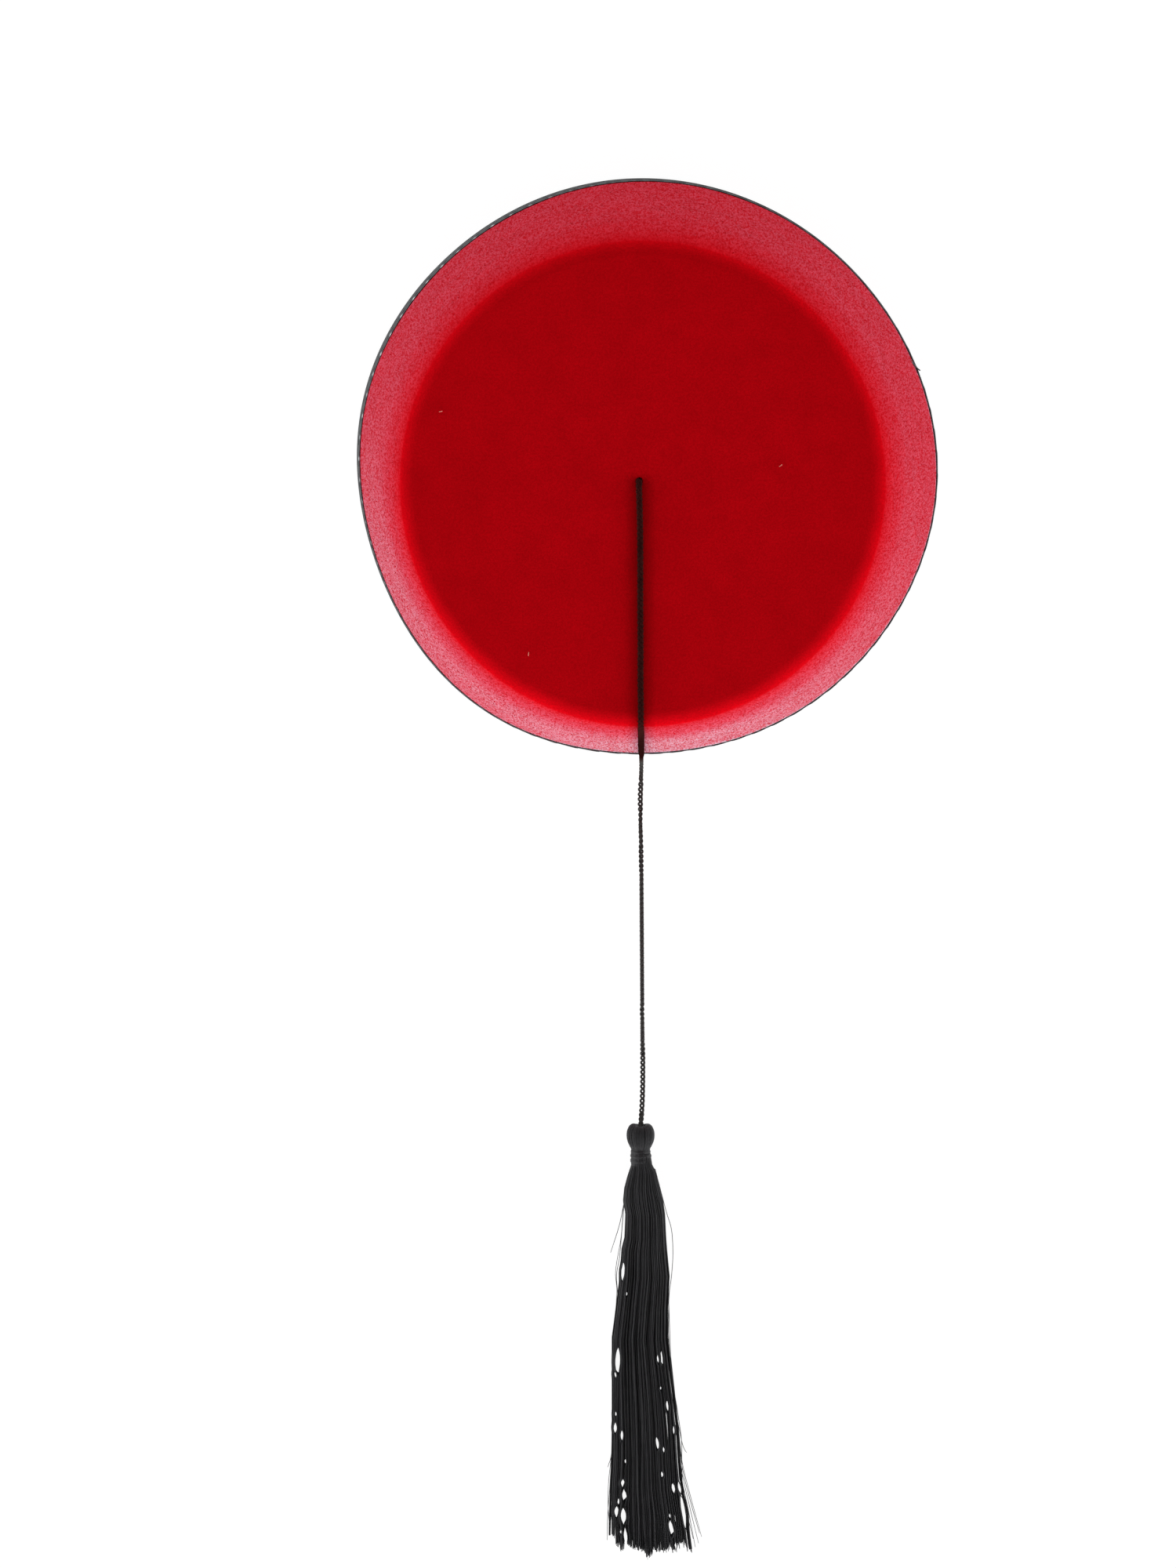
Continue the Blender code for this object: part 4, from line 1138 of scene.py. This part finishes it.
class FEZ_OT_rim_ribbon(bpy.types.Operator):
    """Makes the ribbon that is folded over the felt's raw edge"""
    bl_idname = "fez.rim_ribbon"
    bl_label = "Rim ribbon"

    def execute(self, context):
        felt = context.scene.fez_felt
        ribbon = context.scene.fez_ribbon
        clear = 0.00005
        fold = ribbon.thickness + clear
        outer_edge = wall_at(fold)
        inner_edge = outer_edge - Vector((felt.thickness / WALL_OUT.x, 0.0))

        def face(radius):
            """A face of the ribbon, a distance off the felt, from its outer leg to its inner."""
            climb = WALL_UP * (ribbon.leg - fold)
            out = outer_edge + radius * WALL_OUT
            back = inner_edge - radius * WALL_OUT
            points = [out + climb * share for share in (1.0, 0.8, 0.6, 0.4, 0.2)]
            points += arc_points(outer_edge, radius, WALL_LEAN, -pi / 2, 5)
            points += arc_points(inner_edge, radius, -pi / 2, -pi + WALL_LEAN, 5)
            return points + [back + climb * share for share in (0.25, 0.5, 0.75, 1.0)]

        outline = ease_corners(face(fold) + face(clear)[::-1], 0.00022)
        middle = (outer_edge.x + inner_edge.x) / 2
        up_leg = [max(0.0, p.y - fold) / (ribbon.leg - fold) for p in outline]
        outer = [1.0 if p.x + p.y * (WALL_OUT.y / WALL_OUT.x) > middle else 0.0 for p in outline]
        binding = grow("rim_ribbon", turned_tree(),
                       outline_mesh("ribbon_outline", outline,
                                    climb=[u * o for u, o in zip(up_leg, outer)],
                                    bulge=[u * (2 * o - 1) for u, o in zip(up_leg, outer)]),
                       steps=680, height=HAT_HEIGHT, foot_radius=FOOT_RADIUS,
                       flat_radius=MM, hole=(0.0, 0.0, 0.0),
                       uneven_fold=ribbon.uneven_fold, fold_crest=FOLD_CREST,
                       lean=-WALL_OUT.y / WALL_OUT.x,
                       puckers=stitch_count(ribbon), pucker=0.0001,
                       finish=woven_ribbon(ribbon))
        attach(binding, BODY)
        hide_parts("rim_binding")
        return {"FINISHED"}


class FEZ_OT_rim_stitches(bpy.types.Operator):
    """Makes the stitches that hold the ribbon, and the loose end of their thread"""
    bl_idname = "fez.rim_stitches"
    bl_label = "Rim stitches"

    def execute(self, context):
        ribbon = context.scene.fez_ribbon
        count = stitch_count(ribbon)
        thread = spun_yarn("polyester_sewing_thread", linear("2C2E30"), 0.5, 0.0006, (0.8, 1.2))
        places, outward, onward = [], [], []
        for number in range(count):
            angle = tau * (number + 0.5) / count
            rise = ribbon.uneven_fold * (0.5 + 0.5 * cos(angle - FOLD_CREST)) ** 2
            height = (ribbon.leg + rise) * STITCH_PLACE
            radius = wall_at(height).x + ribbon.thickness + 0.00012
            radius *= 1 + rim_wave(angle, height) / FOOT_RADIUS
            places.append(Vector((radius * cos(angle), radius * sin(angle), height)))
            outward.append((WALL_OUT.x * cos(angle), WALL_OUT.x * sin(angle), WALL_OUT.y))
            onward.append((-sin(angle), cos(angle), 0.0))
        points = mesh_of_lines("stitch_places", [[p] for p in places],
                               outward=outward, onward=onward)
        row = grow("rim_stitches", stitch_tree(), points, length=ribbon.stitch_spacing * 0.94,
                   thread=ribbon.stitch_thread, dip=0.0005, finish=thread)
        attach(row, BODY)
        tail_line = smooth_line([Vector(p) * MM for p in STITCH_TAIL], 0.0004)
        girth = np.linspace(1.6, 1.4, len(tail_line))
        tail = grow("stitch_tail", strand_tree(),
                    mesh_of_lines("tail_line", [tail_line], girth=girth,
                                  tone=np.full(len(tail_line), 0.5)),
                    thickness=ribbon.stitch_thread, sides=8, finish=thread)
        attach(tail, BODY)
        return {"FINISHED"}


# ---------------------------------------------------------------- the cord
def plaited_piece(name, route, sides, loose, phase):
    """A flat plait along a route, of two-ply rayon yarn.

    The yarn is drawn palest where it lies on the floor, painted light, and darkest on the wall,
    painted shade.
    """
    cord = bpy.context.scene.fez_cord
    finish = bpy.data.materials.get("plaited_rayon_cord") or spun_yarn(
        "plaited_rayon_cord", cord.colour, 0.75, 0.0011, (0.25, 1.0), grooves=0.3,
        upper_colour=cord.upper_cord_colour, specular_ior_level=0.0)
    # Painted light and shade: the yarn's tone is raised on the floor and lowered on the wall.
    tones = np.interp([p.z for p in route], (0.006, 0.012, 0.09, 0.117), (1.0, 0.0, 0.1, 0.6))
    lines = mesh_of_lines(name + "_route", [route], side=sides, loose=loose, tone=tones)
    strand = cord.strand
    piece = grow(name, plait_tree(), lines, plait_length=cord.plait_length,
                 sway=(cord.width - strand) / 2, rise=(cord.thickness - strand) / 2,
                 strand=strand, phase=phase, finish=finish)
    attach(piece, BODY)
    return piece


class FEZ_OT_plaited_cord(bpy.types.Operator):
    """Makes the flat plaited cord from the loop above the hole to the tassel"""
    bl_idname = "fez.plaited_cord"
    bl_label = "Plaited cord"

    def execute(self, context):
        inside_head = TASSEL_TOP + Vector((0.0, -0.0024, 0.0))
        route = smooth_line([*[Vector(p) * MM for p in CORD_ROUTE], inside_head], 0.0003)
        plait = plaited_piece("plaited_cord", route, *sides_along(route, (1, 0, 0), PLAIT_TURNS),
                              0.0)
        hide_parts("tassel_cord")
        return {"FINISHED"}


class FEZ_OT_cord_anchor(bpy.types.Operator):
    """Makes the knot under the top, the neck through the hole and the loop above it"""
    bl_idname = "fez.cord_anchor"
    bl_label = "Cord anchor"

    def execute(self, context):
        cord = context.scene.fez_cord
        under_top = HAT_HEIGHT - context.scene.fez_felt.thickness
        middle = Vector((CORD_HOLE.x, CORD_HOLE.y, under_top - 0.0019))
        spread, depth = 0.68 * MM, 0.75 * MM
        knot = []
        for t in np.linspace(-0.55 * pi, 1.07 * pi, 40)[::4]:
            knot.append(middle + Vector(((sin(t) + 2 * sin(2 * t)) * spread,
                                         (cos(t) - 2 * cos(2 * t)) * spread,
                                         -sin(3 * t) * depth)))
        start = Vector(CORD_ROUTE[0]) * MM
        bend_middle = Vector((CORD_HOLE.x, CORD_HOLE.y - LOOP_BEND, start.z - LOOP_BEND))
        loop = [bend_middle + LOOP_BEND * Vector((0, cos(a), sin(a)))
                for a in np.linspace(0, pi / 2, 6)]
        neck = Vector((CORD_HOLE.x, CORD_HOLE.y, under_top + 0.0006))
        route = smooth_line([*knot, neck, *loop, start], 0.0003)
        length = sum((b - a).length for a, b in zip(route, route[1:]))
        phase = -tau * length / cord.plait_length
        back, loose = sides_along(route[::-1], (1, 0, 0))
        anchor = plaited_piece("cord_anchor", route, back[::-1], loose, phase)
        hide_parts("cord_knot")
        return {"FINISHED"}


# ---------------------------------------------------------------- the tassel
def head_point(turn, share, size):
    """A point of the head's surface: how far round, and how far from the dimple to the neck."""
    place = share * (len(HEAD_OUTLINE) - 1)
    low = min(int(place), len(HEAD_OUTLINE) - 2)
    rows = [HEAD_OUTLINE[min(max(low + k, 0), len(HEAD_OUTLINE) - 1)] for k in (-1, 0, 1, 2)]
    along, half_width, half_height = curve_point(*map(Vector, rows), place - low)
    lobe = 0.55 * sin(turn) ** 2 * max(0.0, 1.0 - along / 3.0)
    return TASSEL_TOP + Vector((half_width * size * cos(turn), -(along + lobe),
                                half_height * size * sin(turn))) * MM


def head_lines(tassel, rng):
    """The folded threads that cover the head, from the dimple at the cord to under the wrap."""
    lines, tones = [], []
    for number in range(tassel.head_threads):
        turn = tau * number / tassel.head_threads
        swirl = rng.normal(0.0, 0.03)
        size = 1.0 - 0.012 * rng.random()
        line = [head_point(turn + swirl * sin(pi * s), s, size) for s in np.linspace(0, 1, 26)]
        lines.append(line)
        tones += [0.6 + 0.4 * rng.random()] * len(line)
    return lines, tones


def head_core():
    """A closed bulb just inside the head's threads."""
    bm = bmesh.new()
    shares = np.linspace(0.04, 1.0, 18)
    rings = [[bm.verts.new(head_point(tau * i / 28, s, 0.985)) for i in range(28)] for s in shares]
    for ring, following in zip(rings, rings[1:]):
        for i in range(28):
            j = (i + 1) % 28
            bm.faces.new((ring[i], ring[j], following[j], following[i]))
    bm.faces.new(rings[0])
    bm.faces.new(rings[-1])
    bmesh.ops.recalc_face_normals(bm, faces=bm.faces)
    return bm


class FEZ_OT_tassel_head(bpy.types.Operator):
    """Makes the tassel's head of folded threads"""
    bl_idname = "fez.tassel_head"
    bl_label = "Tassel head"

    def execute(self, context):
        tassel = context.scene.fez_tassel
        rng = np.random.default_rng(tassel.seed)
        finish = rayon_thread(tassel)
        lines, tones = head_lines(tassel, rng)
        head = grow("tassel_head", strand_tree(),
                    mesh_of_lines("head_lines", lines, tone=tones, girth=[1.0] * len(tones)),
                    thickness=HEAD_THREAD, sides=5, finish=finish)
        bm = head_core()
        bm.from_mesh(head.data)
        bm.to_mesh(head.data)
        bm.free()
        head.data.shade_smooth()
        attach(head, BODY)
        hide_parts("tassel")
        return {"FINISHED"}


class FEZ_OT_tassel_wrap(bpy.types.Operator):
    """Makes the thread wound round the tassel's neck"""
    bl_idname = "fez.tassel_wrap"
    bl_label = "Tassel wrap"

    def execute(self, context):
        tassel = context.scene.fez_tassel
        low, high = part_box("tassel_band")
        band_start, band_end = TASSEL_TOP.y - high.y, TASSEL_TOP.y - low.y
        turns, per_turn = tassel.wrap_turns, 30
        line = []
        for i in range(turns * per_turn + 1):
            share = i / (turns * per_turn)
            angle = tau * turns * share
            # The turns are slack towards +X in the middle of the wrap, and drawn in at its ends.
            middle = sin(pi * share)
            slack = 0.10 * sin(3 * angle / turns + 1.0) + 0.22 * max(0.0, cos(angle)) * middle ** 3
            radius = 3.12 + slack - 0.25 * (2 * share - 1) ** 6
            wobble = 0.05 * sin(2.3 * angle) * middle
            along = band_start / MM + 0.3 + share * ((band_end - band_start) / MM - 0.6) + wobble
            line.append(TASSEL_TOP + Vector((radius * cos(angle), -along,
                                             radius * sin(angle) * 0.97)) * MM)
        wrap = grow("tassel_wrap", strand_tree(),
                    mesh_of_lines("wrap_line", [line], tone=[0.95] * len(line),
                                  girth=[1.0] * len(line)),
                    thickness=WRAP_THREAD, sides=7, finish=rayon_thread(tassel))
        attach(wrap, BODY)
        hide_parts("tassel_band")
        return {"FINISHED"}


def part_for_slits(along, across, thread_radius, signs):
    """Pushes a thread's point sideways out of any slit that it would cross."""
    for number, (slit_along, slit_across, length, width, lean) in enumerate(SLITS):
        share = (along - slit_along) / (length / 2)
        middle = slit_across + lean * (along - slit_along)
        if number not in signs and abs(share) < 1.3 and abs(across - middle) < 3.0:
            signs[number] = 1.0 if across > middle else -1.0
        if abs(share) >= 1.0 or number not in signs:
            continue
        opening = width / 2 * (1 - share ** 2) + thread_radius
        reach = opening + 1.1
        away = signs[number] * (across - middle)
        if away < reach:
            away = max(away, -0.3)
            across = middle + signs[number] * (opening + (reach - opening) * max(0.0, away) / reach)
    return across


def thin_line(points, tolerance):
    """A line without the points that lie close to the straight between those that are kept."""
    keep = {0, len(points) - 1}
    todo = [(0, len(points) - 1)]
    while todo:
        a, b = todo.pop()
        if b - a < 2:
            continue
        span = points[b] - points[a]
        inner = points[a + 1:b] - points[a]
        share = np.clip(inner @ span / (span @ span), 0.0, 1.0)
        off = np.linalg.norm(inner - share[:, None] * span, axis=1)
        worst = int(off.argmax())
        if off[worst] > tolerance:
            keep.add(a + 1 + worst)
            todo += [(a, a + 1 + worst), (a + 1 + worst, b)]
    return points[sorted(keep)]


def skirt_lines(tassel, rng):
    """The skirt's threads in mm from the tassel's top: across, along and over the floor."""
    radius = tassel.thread / MM / 2
    lines = []
    golden = (sqrt(5) - 1) / 2
    for number in range(tassel.threads):
        spot = (number + 0.5) / tassel.threads
        layer = (number * golden) % 1.0
        place = 2 * spot - 1
        place = place * 0.80 + 0.20 * place ** 3
        lock = floor((place + 1) * 6.5)
        lock_drift = 0.5 * sin(2.4 * lock + 0.7)
        phase, phase2, wave = rng.random(3) * tau
        sway = rng.normal(0.0, 0.22)
        stray = rng.normal(0.0, 0.035)
        signs = {}
        end_across = place * 14.2 + 2.2
        end = read_table(THREAD_ENDS, end_across)[0] + rng.normal(-0.5, 0.55)
        if rng.random() < 0.06:
            end -= rng.random() * 9.0
        line = []
        steps = int(end - SKIRT_START)
        for i in range(steps + 1):
            along = SKIRT_START + (end - SKIRT_START) * i / steps
            left, right, height = read_table(SKIRT_EDGES, along)
            middle, half = (left + right) / 2, (right - left) / 2 - radius
            # Past the neck the threads wander and drift in locks, and their tips cling together.
            opened = min(1.0, max(0.0, (along - 14.0) / 60.0))
            wander = (sway * sin(along / 19.0 + phase) + 0.12 * sin(along / 7.0 + phase2)) * opened
            drift = lock_drift * opened * (1 - place ** 2) * 0.6
            tip = max(0.0, (along - end + 14.0) / 14.0)
            clump = (floor(place * 15 + 0.5) / 15 - place) * half * 0.45 * tip ** 2
            spread = place + stray * opened
            across = middle + max(-1.0, min(1.0, spread)) * half
            across += wander * (1.0 - abs(place) ** 3) + drift + clump
            across = part_for_slits(along, across, radius, signs)
            # They come out of the round neck and settle in layers on the floor, fewer at the sides.
            room = sqrt(max(0.0, 1.0 - min(1.0, abs(place)) ** 2.4))
            settled = min(1.0, max(0.0, (along - 15.0) / 22.0))
            settled = settled * settled * (3 - 2 * settled)
            at_neck = TASSEL_TOP.z / MM + (2 * layer - 1) * min(height / 2, 3.2) * room
            thickness = height - 2 * radius
            on_floor = radius + 0.05 + layer * thickness * (0.12 + 0.88 * room)
            on_floor += 0.10 * sin(along / 11.0 + wave) * layer
            line.append((across, along, at_neck * (1 - settled) + on_floor * settled))
        line = np.array(line)
        line[:, 2] = np.maximum(line[:, 2], radius)
        lines.append(thin_line(line, 0.05))
    return lines


def stray_lines(radius):
    """The charted stray threads, lying on the floor at the skirt's edge."""
    lines = []
    for number, row in enumerate(STRAYS):
        points = [Vector((across, along, 0.0)) for along, across in row]
        line = np.array([tuple(p) for p in smooth_line(points, 1.2)])
        line[:, 2] = radius + 0.25 + 0.15 * (number % 3)
        lines.append(thin_line(line, 0.02))
    return lines


class FEZ_OT_tassel_skirt(bpy.types.Operator):
    """Makes the tassel's skirt of loose threads, with its slits, strays and ragged ends"""
    bl_idname = "fez.tassel_skirt"
    bl_label = "Tassel skirt"

    def execute(self, context):
        tassel = context.scene.fez_tassel
        rng = np.random.default_rng(tassel.seed)
        radius = tassel.thread / MM / 2
        lines = skirt_lines(tassel, rng)
        thick = [1.0] * len(lines)
        strays = stray_lines(radius)
        lines += strays
        thick += [0.6] * len(strays)
        placed, tones, girths = [], [], []
        for line, girth in zip(lines, thick):
            placed.append([TASSEL_TOP + Vector((x * MM - TASSEL_TOP.x, -along * MM,
                                                z * MM - TASSEL_TOP.z))
                           for x, along, z in line])
            tone = rng.random()
            width = girth * rng.uniform(0.85, 1.15)
            tones += [tone] * len(line)
            girths += [width] * (len(line) - 1) + [width * 0.7]
        skirt = grow("tassel_skirt", strand_tree(),
                     mesh_of_lines("skirt_lines", placed, tone=tones, girth=girths),
                     thickness=tassel.thread, sides=5, finish=rayon_thread(tassel))
        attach(skirt, BODY)
        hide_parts("tassel")
        return {"FINISHED"}


class FEZ_OT_declare_cord(bpy.types.Operator):
    """Works out the cord's route from its table, and does nothing more with it"""
    bl_idname = "fez.declare_cord"
    bl_label = "State the cord"

    def execute(self, context):
        route = smooth_line([Vector(p) * MM for p in CORD_ROUTE], 0.001)
        return {"FINISHED"}


# ---------------------------------------------------------------- stage
CAMERA_PLACE = Vector((0.011392, 0.070646, 1.6))
CAMERA_AIM = Vector((-0.018748, -0.104113, 0.0))      # the point of the table in mid picture
PICTURE_WIDTH = 36.0         # mm, on the camera's sensor
CAMERA_LENS = 111.9          # mm


class FEZ_OT_stage(bpy.types.Operator):
    """Makes the pale table, the soft studio light and the camera at the photograph's angle"""
    bl_idname = "fez.stage"
    bl_label = "Stage"

    def execute(self, context):
        stage = context.scene.fez_stage
        bpy.ops.mesh.primitive_plane_add(size=8.0, location=(0.0, 0.0, -0.0003))
        table = context.active_object
        table.name = "table"
        table.data.materials.append(pale_table())

        world = bpy.data.worlds.new("soft_studio")
        world.use_nodes = True
        tree = world.node_tree
        direction = add(tree, "ShaderNodeTexCoord").outputs["Generated"]
        toward = add(tree, "ShaderNodeSeparateXYZ", {0: direction})
        by_height = add(tree, "ShaderNodeMapRange",
                        {"Value": toward.outputs["Z"], "From Min": 0.12, "From Max": 0.5,
                         "To Min": stage.low_light, "To Max": stage.high_light},
                        interpolation_type="SMOOTHSTEP")
        by_side = add(tree, "ShaderNodeMapRange",
                      {"Value": toward.outputs["Y"], "From Min": -1.0, "From Max": 0.9,
                       "To Min": stage.near_side, "To Max": stage.far_side})
        strength = add(tree, "ShaderNodeMath", {0: by_height, 1: by_side}, operation="MULTIPLY")
        tree.links.new(strength.outputs[0], tree.nodes["Background"].inputs["Strength"])
        tree.nodes["Background"].inputs["Color"].default_value = (1.0, 1.0, 1.0, 1.0)
        context.scene.world = world
        context.scene.view_settings.view_transform = "Standard"

        forward = (CAMERA_AIM - CAMERA_PLACE).normalized()
        right = forward.cross(Vector((0.0, 1.0, 0.0))).normalized()
        upright = right.cross(forward)
        camera_data = bpy.data.cameras.new("camera")
        camera_data.lens = CAMERA_LENS
        camera_data.sensor_width = PICTURE_WIDTH
        camera_data.clip_start = 0.05
        camera = bpy.data.objects.new("camera", camera_data)
        camera.matrix_world = (Matrix.Translation(CAMERA_PLACE)
                               @ Matrix((right, upright, -forward)).transposed().to_4x4())
        context.scene.collection.objects.link(camera)
        context.scene.camera = camera
        return {"FINISHED"}


PIECE_OPERATORS = (
    FEZ_OT_stage, FEZ_OT_plaited_cord, FEZ_OT_cord_anchor, FEZ_OT_felt_crown, FEZ_OT_felt_nap,
    FEZ_OT_rim_ribbon, FEZ_OT_rim_stitches, FEZ_OT_tassel_head, FEZ_OT_tassel_wrap,
    FEZ_OT_tassel_skirt, FEZ_OT_declare_cord,
)
SETTINGS = {
    "fez_felt": FezFeltSettings,
    "fez_ribbon": FezRibbonSettings,
    "fez_cord": FezCordSettings,
    "fez_tassel": FezTasselSettings,
    "fez_stage": FezStageSettings,
}


class FEZ_PT_panel(bpy.types.Panel):
    """Lists the hat's settings and its pieces"""
    bl_label = "Fez hat"
    bl_idname = "FEZ_PT_panel"
    bl_space_type = "VIEW_3D"
    bl_region_type = "UI"
    bl_category = "Fez hat"

    def draw(self, context):
        layout = self.layout
        for name, kind in SETTINGS.items():
            box = layout.box()
            for setting in kind.__annotations__:
                box.prop(getattr(context.scene, name), setting)
        for piece in PIECE_OPERATORS:
            layout.operator(piece.bl_idname)


def register():
    for kind in (*SETTINGS.values(), *PIECE_OPERATORS, FEZ_PT_panel):
        bpy.utils.register_class(kind)
    for name, kind in SETTINGS.items():
        setattr(bpy.types.Scene, name, PointerProperty(type=kind))


def unregister():
    for name in SETTINGS:
        delattr(bpy.types.Scene, name)
    for kind in (FEZ_PT_panel, *reversed(PIECE_OPERATORS), *SETTINGS.values()):
        bpy.utils.unregister_class(kind)


def main():
    register()
    for piece in PIECE_OPERATORS:
        group, name = piece.bl_idname.split(".")
        getattr(getattr(bpy.ops, group), name)()


if __name__ == "__main__":
    main()
